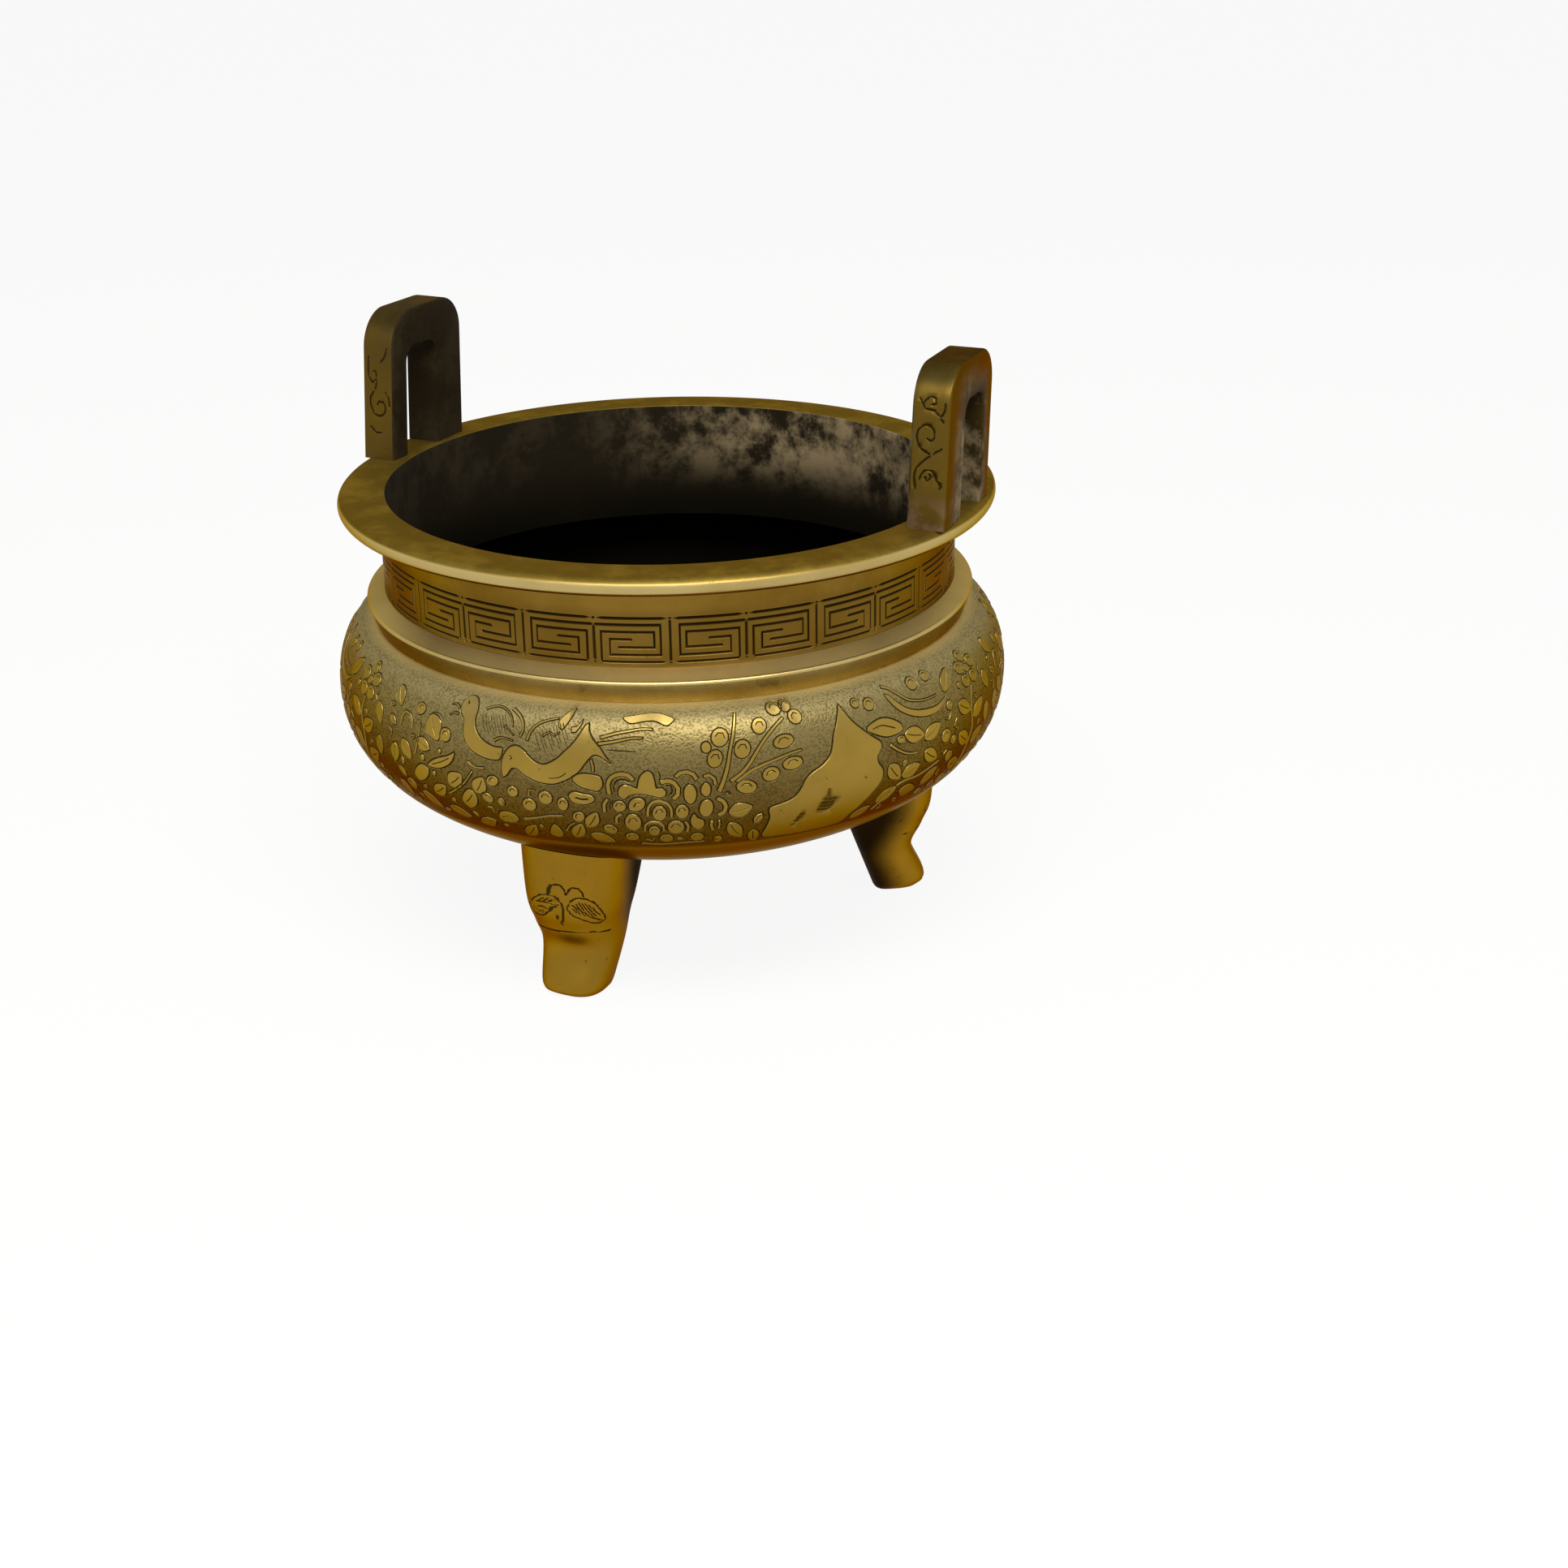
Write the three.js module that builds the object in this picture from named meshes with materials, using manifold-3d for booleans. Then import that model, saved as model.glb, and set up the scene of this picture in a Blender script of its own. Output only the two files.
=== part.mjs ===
// Tripod incense burner: a turned brass bowl on three cast cabriole legs, with two upright loop handles
// standing on its flat rim. Millimetres, +Z up, origin on the ground at the bowl's axis.
import * as THREE from "three";
import { mergeVertices } from "three/addons/utils/BufferGeometryUtils.js";
import Module from "manifold-3d";

// Heights: the rim above the ground, and what lies below the rim
const RIM_HEIGHT = 145;
const COVE_ROUND = 1.9; // hollow between the neck and the flange's underside
const FRET_FOOT_DROP = 30;
const RING_EDGE_DROP = 32.4;
const RING_FOOT_DROP = 39.3;
const BELLY_DROP = 60.7; // down to the widest part of the belly
const BELLY_DEPTH = 47.3; // from the widest part down to the underside

// Widths of the turned bowl, from its axis
const MOUTH_RADIUS = 88.2;
const MOUTH_EDGE = 0.7; // the mouth's inner edge is broken by this much
const FLANGE_WIDTH = 14.8;
const LIP_ROUND = 2.65; // radius of the lip's rounded outer edge
const NECK_WALL = 2.4;
const RING_OVERHANG = 5.8; // how far the ring's edge stands out from the neck
const RING_ROUND = 1;
const RING_STEP = 3.6; // how far the ring's foot stands out from the neck
const BELLY_RADIUS = 107.2;
const BELLY_SQUARENESS = 2.34; // exponent of the lower belly's superellipse
const WALL = 4;
const BOWL_SEGMENTS = 72;

const FLANGE_THICKNESS = 2 * LIP_ROUND;
const LIP_RADIUS = MOUTH_RADIUS + FLANGE_WIDTH;
const NECK_RADIUS = MOUTH_RADIUS + NECK_WALL;
const BELLY_HEIGHT = RIM_HEIGHT - BELLY_DROP;

// Handles: upright loops whose broad faces look in and out
const HANDLE_WIDTH = 40.5;
const HANDLE_HEIGHT = 46.3;
const HANDLE_THICKNESS = 11.6;
const HANDLE_CORNER = 11;
const HANDLE_TAPER = 1; // each side comes in by this much at the top
const HANDLE_LEAN = 4.6; // both handles' tops stand this far towards the back
const HANDLE_EDGE = 0.8;
const LOOP_WIDTH = 16.8;
const LOOP_HEIGHT = 34;
const LOOP_CORNER = 4.5;
const LOOP_OFFSET = 3.5; // the loop's middle lies beside the handle's middle
const HANDLE_RADIUS = MOUTH_RADIUS + FLANGE_WIDTH / 2; // the handle's middle plane
const RIGHT_HANDLE_TURN = 3; // degrees by which the right handle stands turned on the rim
const RIGHT_HANDLE_INSET = 0.8; // and how far it stands in from the left handle's radius

// Legs: each is drawn standing towards +X, by how far its front and heel lie inside the belly's widest part
const LEG_COUNT = 3;
const LEG_FIRST_ANGLE = -88.4; // degrees from the right handle's direction
const LEG_GAP = 0.3;
const SOLE_INSET = 26.2;
const SOLE_WIDTH = 19;
const TOE_HEIGHT = 3;
const TOE_INSET = 24.2;
const TOE_WIDTH = 21.2;
const ANKLE_HEIGHT = 14.5;
const ANKLE_INSET = 28.8;
const ANKLE_WIDTH = 25;
const KNEE_FOOT_HEIGHT = 23.5;
const KNEE_FOOT_INSET = 25;
const KNEE_FOOT_WIDTH = 27.4;
const KNEE_HEIGHT = 33;
const KNEE_INSET = 22;
const KNEE_WIDTH = 31;
const THIGH_WIDTH = 35.4;
const THIGH_UNDER_BELLY = 28; // the leg is drawn up to this far below the belly's widest part
const HEEL_INSET = 42.2;
const HEEL_SLOPE = 0.37; // the back comes in by this much for each millimetre of height
const LEG_SIDES = 28;
const LEG_STEPS = 16;

// Rivets that hold the handles and the legs
const RIVET_CLEARANCE = 0.3;
const HANDLE_RIVET_RADIUS = 1.8;
const HANDLE_RIVET_HEAD_RADIUS = 2.6;
const HANDLE_RIVET_HEAD_HEIGHT = 1.8;
const HANDLE_RIVET_DEPTH = 8; // how far the shank reaches up into the handle's foot
const LEG_RIVET_RADIUS = 2.8;
const LEG_RIVET_HEAD_RADIUS = 5.4;
const LEG_RIVET_HEAD_HEIGHT = 2.4;
const LEG_RIVET_DEPTH = 10;
const LEG_RIVET_INSET = 38; // the rivet passes this far inside the belly's widest part
const WASHER_RADIUS = 7.4;
const WASHER_THICKNESS = 1.2;
const RIVET_SEGMENTS = 16;
const HOLE_OVERRUN = 3; // holes are cut this far past the faces they open in

const wasm = await Module();
wasm.setup();

const bowlBrass = new THREE.MeshStandardMaterial({ color: 0x8a6f28, roughness: 0.42, metalness: 0.9 });
const handleBrass = new THREE.MeshStandardMaterial({ color: 0x7d6a30, roughness: 0.45, metalness: 0.9 });
const legBrass = new THREE.MeshStandardMaterial({ color: 0x8c6c22, roughness: 0.4, metalness: 0.9 });
const rivetBrass = new THREE.MeshStandardMaterial({ color: 0x6e5a2a, roughness: 0.5, metalness: 0.9 });

function solid(geometry) {
  const plain = geometry.clone();
  plain.deleteAttribute("normal");
  plain.deleteAttribute("uv");
  const merged = mergeVertices(plain, 1e-4);
  return new wasm.Manifold(
    new wasm.Mesh({
      numProp: 3,
      vertProperties: new Float32Array(merged.attributes.position.array),
      triVerts: new Uint32Array(merged.index.array),
    }),
  );
}

function geometryOf(manifold) {
  const mesh = manifold.getMesh();
  const geometry = new THREE.BufferGeometry();
  geometry.setAttribute("position", new THREE.BufferAttribute(mesh.vertProperties, 3));
  geometry.setIndex(new THREE.BufferAttribute(mesh.triVerts, 1));
  geometry.computeVertexNormals();
  return geometry;
}

function turned(points, segments) {
  const profile = points.map(([radius, height]) => new THREE.Vector2(radius, height));
  return new THREE.LatheGeometry(profile, segments).rotateX(Math.PI / 2);
}

// Points on an arc of a profile, from one angle to another in degrees
function arc(radius, height, size, from, to, steps) {
  const points = [];
  for (let i = 0; i <= steps; i++) {
    const angle = THREE.MathUtils.degToRad(from + ((to - from) * i) / steps);
    points.push([radius + size * Math.cos(angle), height + size * Math.sin(angle)]);
  }
  return points;
}

// Height of the belly's outside at a distance from the axis
function bellyHeight(radius) {
  const across = Math.min(radius / BELLY_RADIUS, 1);
  return BELLY_HEIGHT - BELLY_DEPTH * Math.pow(1 - Math.pow(across, BELLY_SQUARENESS), 1 / BELLY_SQUARENESS);
}

// The belly below its widest part, from the axis outwards, grown or shrunk by an offset
function lowerBelly(offset, steps) {
  const power = 2 / BELLY_SQUARENESS;
  const points = [[0, BELLY_HEIGHT - BELLY_DEPTH - offset]];
  for (let i = 1; i <= steps; i++) {
    const angle = (i / steps) * (Math.PI / 2);
    const radius = (BELLY_RADIUS + offset) * Math.pow(Math.sin(angle), power);
    const drop = (BELLY_DEPTH + offset) * Math.pow(Math.max(Math.cos(angle), 0), power);
    points.push([radius, BELLY_HEIGHT - drop]);
  }
  return points;
}

// The belly above its widest part, up to where it meets the ring
function upperBelly(endRadius, endHeight, offset, steps) {
  const points = [];
  for (let i = 1; i <= steps; i++) {
    const angle = (i / steps) * (Math.PI / 2);
    const radius = endRadius + (BELLY_RADIUS + offset - endRadius) * Math.cos(angle);
    points.push([radius, BELLY_HEIGHT + (endHeight - BELLY_HEIGHT) * Math.sin(angle)]);
  }
  return points;
}

// The bowl's outside from the middle of the underside to the rim, then its inside back to the middle
function bowlProfile() {
  const ringFoot = RIM_HEIGHT - RING_FOOT_DROP;
  const ringMiddle = RIM_HEIGHT - RING_EDGE_DROP - RING_ROUND;
  const flangeFoot = RIM_HEIGHT - FLANGE_THICKNESS;
  const outside = [
    ...lowerBelly(0, 13),
    ...upperBelly(NECK_RADIUS + RING_STEP, ringFoot, 0, 6),
    ...arc(NECK_RADIUS + RING_OVERHANG - RING_ROUND, ringMiddle, RING_ROUND, 0, 90, 2),
    [NECK_RADIUS, RIM_HEIGHT - FRET_FOOT_DROP],
    ...arc(NECK_RADIUS + COVE_ROUND, flangeFoot - COVE_ROUND, COVE_ROUND, 180, 90, 2),
    ...arc(LIP_RADIUS - LIP_ROUND, RIM_HEIGHT - LIP_ROUND, LIP_ROUND, -90, 90, 6),
  ];
  const inside = [
    [MOUTH_RADIUS + MOUTH_EDGE, RIM_HEIGHT],
    [MOUTH_RADIUS, RIM_HEIGHT - MOUTH_EDGE],
    ...upperBelly(MOUTH_RADIUS, ringFoot, -WALL, 5).reverse(),
    ...lowerBelly(-WALL, 12).reverse(),
  ];
  return [...outside, ...inside];
}

// A rivet standing on its head: the head lies below z = 0 and the shank above it
function rivetShape(headRadius, headHeight, shankRadius, shankLength) {
  const points = [[0, -headHeight]];
  for (let i = 1; i <= 4; i++) {
    const angle = (i / 4) * (Math.PI / 2);
    points.push([headRadius * Math.sin(angle), -headHeight * Math.cos(angle)]);
  }
  points.push([shankRadius, 0], [shankRadius, shankLength], [0, shankLength]);
  return turned(points, RIVET_SEGMENTS);
}

function rod(radius, from, to) {
  return turned([[0, from], [radius, from], [radius, to], [0, to]], RIVET_SEGMENTS);
}

// Each handle's two rivets stand in the middles of its two posts
const handleRivetPlaces = [-1, 1].map((side) => {
  const outer = (side * HANDLE_WIDTH) / 2;
  const inner = LOOP_OFFSET + (side * LOOP_WIDTH) / 2;
  return (outer + inner) / 2;
});

function handleOutline() {
  const half = HANDLE_WIDTH / 2;
  const left = LOOP_OFFSET - LOOP_WIDTH / 2;
  const right = LOOP_OFFSET + LOOP_WIDTH / 2;
  const loopTop = LOOP_HEIGHT - LOOP_CORNER;
  const top = HANDLE_HEIGHT - HANDLE_CORNER;
  const outline = new THREE.Shape();
  outline.moveTo(-half, 0);
  outline.lineTo(left, 0);
  outline.absarc(left + LOOP_CORNER, loopTop, LOOP_CORNER, Math.PI, Math.PI / 2, true);
  outline.absarc(right - LOOP_CORNER, loopTop, LOOP_CORNER, Math.PI / 2, 0, true);
  outline.lineTo(right, 0);
  outline.lineTo(half, 0);
  outline.absarc(half - HANDLE_CORNER, top, HANDLE_CORNER, 0, Math.PI / 2, false);
  outline.absarc(-half + HANDLE_CORNER, top, HANDLE_CORNER, Math.PI / 2, Math.PI, false);
  outline.closePath();
  return outline;
}

// Brings the sides in towards the top and leans the whole handle sideways, with its foot left in place
function shapeHandle(geometry, lean) {
  const position = geometry.attributes.position;
  for (let i = 0; i < position.count; i++) {
    const share = position.getZ(i) / HANDLE_HEIGHT;
    const narrowing = 1 - (share * 2 * HANDLE_TAPER) / HANDLE_WIDTH;
    position.setY(i, position.getY(i) * narrowing + share * lean);
  }
}

// Turns a shape made at the origin to face its handle's way, and stands it in that handle's place
function atHandle(geometry, side) {
  const right = side === "right";
  const turn = right ? THREE.MathUtils.degToRad(RIGHT_HANDLE_TURN) : Math.PI;
  const radius = right ? HANDLE_RADIUS - RIGHT_HANDLE_INSET : -HANDLE_RADIUS;
  return geometry.rotateZ(turn).translate(radius, 0, RIM_HEIGHT);
}

function handleGeometry(lean) {
  const block = new THREE.ExtrudeGeometry(handleOutline(), {
    depth: HANDLE_THICKNESS - 2 * HANDLE_EDGE,
    bevelEnabled: true,
    bevelThickness: HANDLE_EDGE,
    bevelSize: HANDLE_EDGE,
    bevelOffset: -HANDLE_EDGE,
    bevelSegments: 1,
    curveSegments: 6,
  });
  block.translate(0, 0, HANDLE_EDGE - HANDLE_THICKNESS / 2);
  block.rotateX(Math.PI / 2).rotateZ(Math.PI / 2);
  shapeHandle(block, lean);
  let made = solid(block);
  for (const y of handleRivetPlaces) {
    const depth = HANDLE_RIVET_DEPTH + RIVET_CLEARANCE;
    const hole = rod(HANDLE_RIVET_RADIUS + RIVET_CLEARANCE, -HOLE_OVERRUN, depth);
    made = made.subtract(solid(hole.translate(0, y, 0)));
  }
  return geometryOf(made);
}

// The leg's front distance from the axis, its full width and its height, from the sole to the thigh
function legStations() {
  const thigh = BELLY_HEIGHT - THIGH_UNDER_BELLY;
  const line = new THREE.CatmullRomCurve3(
    [
      new THREE.Vector3(BELLY_RADIUS - SOLE_INSET, SOLE_WIDTH, 0),
      new THREE.Vector3(BELLY_RADIUS - TOE_INSET, TOE_WIDTH, TOE_HEIGHT),
      new THREE.Vector3(BELLY_RADIUS - ANKLE_INSET, ANKLE_WIDTH, ANKLE_HEIGHT),
      new THREE.Vector3(BELLY_RADIUS - KNEE_FOOT_INSET, KNEE_FOOT_WIDTH, KNEE_FOOT_HEIGHT),
      new THREE.Vector3(BELLY_RADIUS - KNEE_INSET, KNEE_WIDTH, KNEE_HEIGHT),
      new THREE.Vector3(BELLY_RADIUS - KNEE_INSET, THIGH_WIDTH, thigh),
    ],
    false,
    "centripetal",
  );
  return line.getSpacedPoints(LEG_STEPS);
}

// One level outline of the leg: nearly flat at the back and round at the front
function legRing(front, width, height) {
  const back = BELLY_RADIUS - HEEL_INSET - HEEL_SLOPE * height;
  const middle = back + (front - back) * 0.4;
  const points = [];
  for (let i = 0; i < LEG_SIDES; i++) {
    const angle = (i / LEG_SIDES) * 2 * Math.PI;
    const along = Math.cos(angle);
    const across = Math.sin(angle);
    const flatness = along < 0 ? 0.45 : 0.8;
    const half = along < 0 ? middle - back : front - middle;
    const x = middle + Math.sign(along) * half * Math.pow(Math.abs(along), flatness);
    points.push(x, (Math.sign(across) * Math.pow(Math.abs(across), 0.7) * width) / 2, height);
  }
  return points;
}

// Joins rings of points, each with LEG_SIDES points, into a closed body with a fan at each end
function lofted(rings) {
  const last = (rings.length - 1) * LEG_SIDES;
  const position = rings.flat();
  const index = [];
  for (let start = 0; start < last; start += LEG_SIDES)
    for (let i = 0; i < LEG_SIDES; i++) {
      const a = start + i;
      const b = start + ((i + 1) % LEG_SIDES);
      index.push(a, b, b + LEG_SIDES, a, b + LEG_SIDES, a + LEG_SIDES);
    }
  for (let i = 1; i < LEG_SIDES - 1; i++) {
    index.push(0, i + 1, i);
    index.push(last, last + i, last + i + 1);
  }
  const geometry = new THREE.BufferGeometry();
  geometry.setAttribute("position", new THREE.BufferAttribute(new Float32Array(position), 3));
  geometry.setIndex(index);
  return geometry;
}

function legGeometry() {
  const leg = lofted(legStations().map((station) => legRing(station.x, station.y, station.z)));
  const bellyAbove = turned([...lowerBelly(LEG_GAP, 24), [0, BELLY_HEIGHT]], BOWL_SEGMENTS);
  return geometryOf(solid(leg).subtract(solid(bellyAbove)).subtract(solid(legRivetHole())));
}

// The leg rivet's axis stands square to the belly where it passes through
const LEG_RIVET_AT = BELLY_RADIUS - LEG_RIVET_INSET;
const LEG_RIVET_TILT = Math.atan2(bellyHeight(LEG_RIVET_AT + 1) - bellyHeight(LEG_RIVET_AT - 1), 2);

function alongLegRivet(geometry) {
  return geometry
    .rotateX(Math.PI)
    .rotateY(-LEG_RIVET_TILT)
    .translate(LEG_RIVET_AT, 0, bellyHeight(LEG_RIVET_AT));
}

function legRivetHole() {
  const radius = LEG_RIVET_RADIUS + RIVET_CLEARANCE;
  return alongLegRivet(rod(radius, -WALL - HOLE_OVERRUN, LEG_RIVET_DEPTH + RIVET_CLEARANCE));
}

function washerShape() {
  const hole = LEG_RIVET_RADIUS + RIVET_CLEARANCE;
  const outer = -WALL - RIVET_CLEARANCE;
  const inner = outer - WASHER_THICKNESS;
  const corners = [
    [hole, inner],
    [WASHER_RADIUS, inner],
    [WASHER_RADIUS, outer],
    [hole, outer],
    [hole, inner],
  ];
  return turned(corners, RIVET_SEGMENTS);
}

function legRivetShape() {
  const seat = WALL + WASHER_THICKNESS + 2 * RIVET_CLEARANCE;
  const shank = seat + LEG_RIVET_DEPTH;
  const rivet = rivetShape(LEG_RIVET_HEAD_RADIUS, LEG_RIVET_HEAD_HEIGHT, LEG_RIVET_RADIUS, shank);
  return rivet.translate(0, 0, -seat);
}

function legAngle(number) {
  return THREE.MathUtils.degToRad(LEG_FIRST_ANGLE + (number * 360) / LEG_COUNT);
}

function bowlGeometry() {
  let made = solid(turned(bowlProfile(), BOWL_SEGMENTS));
  for (let number = 0; number < LEG_COUNT; number++)
    made = made.subtract(solid(legRivetHole().rotateZ(legAngle(number))));
  const through = FLANGE_THICKNESS + HOLE_OVERRUN;
  for (const side of ["right", "left"])
    for (const y of handleRivetPlaces) {
      const hole = rod(HANDLE_RIVET_RADIUS + RIVET_CLEARANCE, -through, HOLE_OVERRUN);
      made = made.subtract(solid(atHandle(hole.translate(0, y, 0), side)));
    }
  return geometryOf(made);
}

function mesh(name, geometry, material) {
  const made = new THREE.Mesh(geometry, material);
  made.name = name;
  return made;
}

function handleGroup(side) {
  const group = new THREE.Group();
  const lean = side === "right" ? HANDLE_LEAN : -HANDLE_LEAN;
  group.add(mesh(`handle_${side}`, atHandle(handleGeometry(lean), side), handleBrass));
  const shank = FLANGE_THICKNESS + HANDLE_RIVET_DEPTH;
  handleRivetPlaces.forEach((y, number) => {
    const rivet = rivetShape(HANDLE_RIVET_HEAD_RADIUS, HANDLE_RIVET_HEAD_HEIGHT, HANDLE_RIVET_RADIUS, shank);
    const name = `handle_${side}_rivet_${number + 1}`;
    group.add(mesh(name, atHandle(rivet.translate(0, y, -FLANGE_THICKNESS), side), rivetBrass));
  });
  return group;
}

function legGroup(number) {
  const place = new THREE.Group();
  place.rotation.z = legAngle(number - 1);
  place.add(mesh(`leg_${number}`, legGeometry(), legBrass));
  place.add(mesh(`leg_${number}_washer`, alongLegRivet(washerShape()), rivetBrass));
  place.add(mesh(`leg_${number}_rivet`, alongLegRivet(legRivetShape()), rivetBrass));
  return place;
}

const burner = new THREE.Group();
burner.add(mesh("bowl", bowlGeometry(), bowlBrass));
burner.add(handleGroup("right"));
burner.add(handleGroup("left"));
for (let number = 1; number <= LEG_COUNT; number++) burner.add(legGroup(number));

export default burner;
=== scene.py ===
# %% [markdown]
# # A tripod incense burner in aged brass
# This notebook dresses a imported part, a turned brass bowl on three cast legs with two loop handles, in
# the surface that the real object has: patina, soot, engraving and rubbed edges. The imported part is
# loaded first and stays as it is. Everything is in metres, with the origin on the ground under the bowl.

import bisect
import math

import bmesh
import bpy
from mathutils import Matrix, Vector
from mathutils.geometry import delaunay_2d_cdt
from mathutils.kdtree import KDTree


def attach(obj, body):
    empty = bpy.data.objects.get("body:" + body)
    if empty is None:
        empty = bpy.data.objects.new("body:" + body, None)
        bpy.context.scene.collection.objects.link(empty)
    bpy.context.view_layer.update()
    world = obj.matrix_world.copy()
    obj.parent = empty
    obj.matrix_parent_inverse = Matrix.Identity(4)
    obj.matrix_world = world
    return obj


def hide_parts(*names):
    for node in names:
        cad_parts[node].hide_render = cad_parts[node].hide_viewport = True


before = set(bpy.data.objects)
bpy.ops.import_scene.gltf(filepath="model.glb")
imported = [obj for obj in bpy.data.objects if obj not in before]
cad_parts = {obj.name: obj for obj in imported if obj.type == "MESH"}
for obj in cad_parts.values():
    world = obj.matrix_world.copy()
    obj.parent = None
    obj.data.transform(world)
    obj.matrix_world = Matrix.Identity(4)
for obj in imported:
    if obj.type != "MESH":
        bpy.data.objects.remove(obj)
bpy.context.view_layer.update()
print("packed nodes:", sorted(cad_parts))

# %% [markdown]
# ## Measures
# The same lengths as in the part's own source, in millimetres, because a maker thinks in millimetres.
# The helper `at` turns them into Blender's metres.

# %% Measures of the bowl
MM = 0.001
RIM_HEIGHT = 145
COVE_ROUND = 1.9
NECK_TOP_DROP = 12
FRET_FOOT_DROP = 30
RING_EDGE_DROP = 32.4
RING_FOOT_DROP = 39.3
BELLY_DROP = 60.7
BELLY_DEPTH = 47.3
MOUTH_RADIUS = 88.2
MOUTH_EDGE = 0.7
LIP_RADIUS = 103
LIP_ROUND = 2.65
NECK_RADIUS = 90.6
RING_OVERHANG = 5.8
RING_ROUND = 1
RING_STEP = 3.6
BELLY_RADIUS = 107.2
BELLY_SQUARENESS = 2.34
WALL = 4
BELLY_HEIGHT = RIM_HEIGHT - BELLY_DROP
print("rim", 2 * LIP_RADIUS, "mm across, belly", 2 * BELLY_RADIUS, "mm across")

# %% Measures of the handles and legs
HANDLE_WIDTH = 40.5
HANDLE_HEIGHT = 46.3
HANDLE_THICKNESS = 11.6
HANDLE_RADIUS = 95.6
HANDLE_CORNER = 11
HANDLE_TAPER = 1
HANDLE_LEAN = 4.6
HANDLE_EDGE = 0.8
RIGHT_HANDLE_TURN = 3
RIGHT_HANDLE_INSET = 0.8
LOOP_WIDTH = 16.8
LOOP_HEIGHT = 34
LOOP_CORNER = 4.5
LOOP_OFFSET = 3.5
LEG_FIRST_ANGLE = -88.4
HEEL_INSET = 42.2
HEEL_SLOPE = 0.37
LEG_GAP = 0.3


def at(x, y, z):
    return Vector((x * MM, y * MM, z * MM))


print("handles reach up to", round(at(0, 0, RIM_HEIGHT + HANDLE_HEIGHT).z, 4), "m")


# %% [markdown]
# ## Camera
# The picture was taken from a little above the rim, with the burner left of and above the middle of the
# frame. A camera could be aimed by hand. Here its three directions are worked out from angles instead, so
# that the same numbers always give the same frame. The lens is 52 mm on a 36 mm wide sensor, near to what
# the eye sees.

# %% Camera
CAMERA_AZIMUTH = math.radians(29)
CAMERA_ELEVATION = 0.2801
CAMERA_DISTANCE = 723.79
CAMERA_YAW = 0.0508
CAMERA_PITCH = 0.1358
CAMERA_ROLL = -0.0132
FOCAL_PIXELS = 2800
PHOTO_PIXELS = 1932
SENSOR_WIDTH = 36

camera_data = bpy.data.cameras.new("camera")
camera_data.sensor_width = SENSOR_WIDTH
camera_data.lens = SENSOR_WIDTH * FOCAL_PIXELS / PHOTO_PIXELS
camera = bpy.data.objects.new("camera", camera_data)
bpy.context.scene.collection.objects.link(camera)
tilt = CAMERA_ELEVATION + CAMERA_PITCH
look = Vector((
    math.sin(CAMERA_YAW) * math.cos(tilt), math.cos(CAMERA_YAW) * math.cos(tilt), -math.sin(tilt),
))
level = Vector((math.cos(CAMERA_YAW), -math.sin(CAMERA_YAW), 0))
upright = level.cross(look)
across = level * math.cos(CAMERA_ROLL) + upright * math.sin(CAMERA_ROLL)
above = upright * math.cos(CAMERA_ROLL) - level * math.sin(CAMERA_ROLL)
turn = Matrix.Rotation(CAMERA_AZIMUTH, 4, "Z")
facing = Matrix((across, above, -look)).transposed().to_4x4()
stand = Vector((
    0, -CAMERA_DISTANCE * math.cos(CAMERA_ELEVATION), CAMERA_DISTANCE * math.sin(CAMERA_ELEVATION),
))
place = turn @ Matrix.Translation(stand * MM)
camera.matrix_world = Matrix.Translation(at(0, 0, RIM_HEIGHT)) @ place @ facing
bpy.context.scene.camera = camera
print("lens", round(camera_data.lens, 1), "mm, camera at", camera.matrix_world.translation)

# %% [markdown]
# ## Writing shader maths as sums
# A node material is a drawing, and a drawing is hard to read in a script. The small class `Value` wraps
# one output socket and lets it be added, taken away and multiplied like a number, and each such sum adds
# the Math node that does it. `Nodes` adds every other node, and `Finish` is the one for a metal's shader.


# %% Shader values
class Value:
    """An output socket that can be reckoned with."""

    def __init__(self, nodes, socket):
        self.nodes = nodes
        self.socket = socket

    def maths(self, operation, *terms):
        return self.nodes.node("ShaderNodeMath", {"operation": operation}, dict(enumerate(terms)))

    def __add__(self, other):
        return self.maths("ADD", self, other)

    def __sub__(self, other):
        return self.maths("SUBTRACT", self, other)

    def __rsub__(self, other):
        return self.maths("SUBTRACT", other, self)

    def __mul__(self, other):
        return self.maths("MULTIPLY", self, other)

    def larger(self, other):
        return self.maths("MAXIMUM", self, other)

    def step(self, low, high):
        """Rises softly from nought at the low value to one at the high value."""
        settings = {"interpolation_type": "SMOOTHSTEP"}
        sockets = {"Value": self, "From Min": low, "From Max": high}
        return self.nodes.node("ShaderNodeMapRange", settings, sockets)

    __radd__ = __add__
    __rmul__ = __mul__


class Nodes:
    """A node tree that new nodes are added to, each with its settings and the values of its sockets."""

    def __init__(self, tree):
        self.tree = tree

    def node(self, kind, settings, sockets, output=0):
        made = self.tree.nodes.new(kind)
        for key, value in settings.items():
            setattr(made, key, value)
        for key, value in sockets.items():
            self.feed(made.inputs[key], value)
        return Value(self, made.outputs[output]) if made.outputs else None

    def feed(self, socket, value):
        if isinstance(value, Value):
            self.tree.links.new(value.socket, socket)
        else:
            socket.default_value = value

    def seen_directly(self):
        """One where a surface is looked at, mirrored or seen through glass, and nought where it lights."""
        rays = ("Is Camera Ray", "Is Glossy Ray", "Is Transmission Ray")
        looked_at, mirrored, passed = (self.node("ShaderNodeLightPath", {}, {}, ray) for ray in rays)
        return looked_at.larger(mirrored).larger(passed)

    def either(self, factor, first, second):
        return self.node("ShaderNodeMixShader", {}, {0: factor, 1: first, 2: second})


# %% Finishes
EDGE_TINT = (0.5, 0.34, 0.12, 1)


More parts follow.
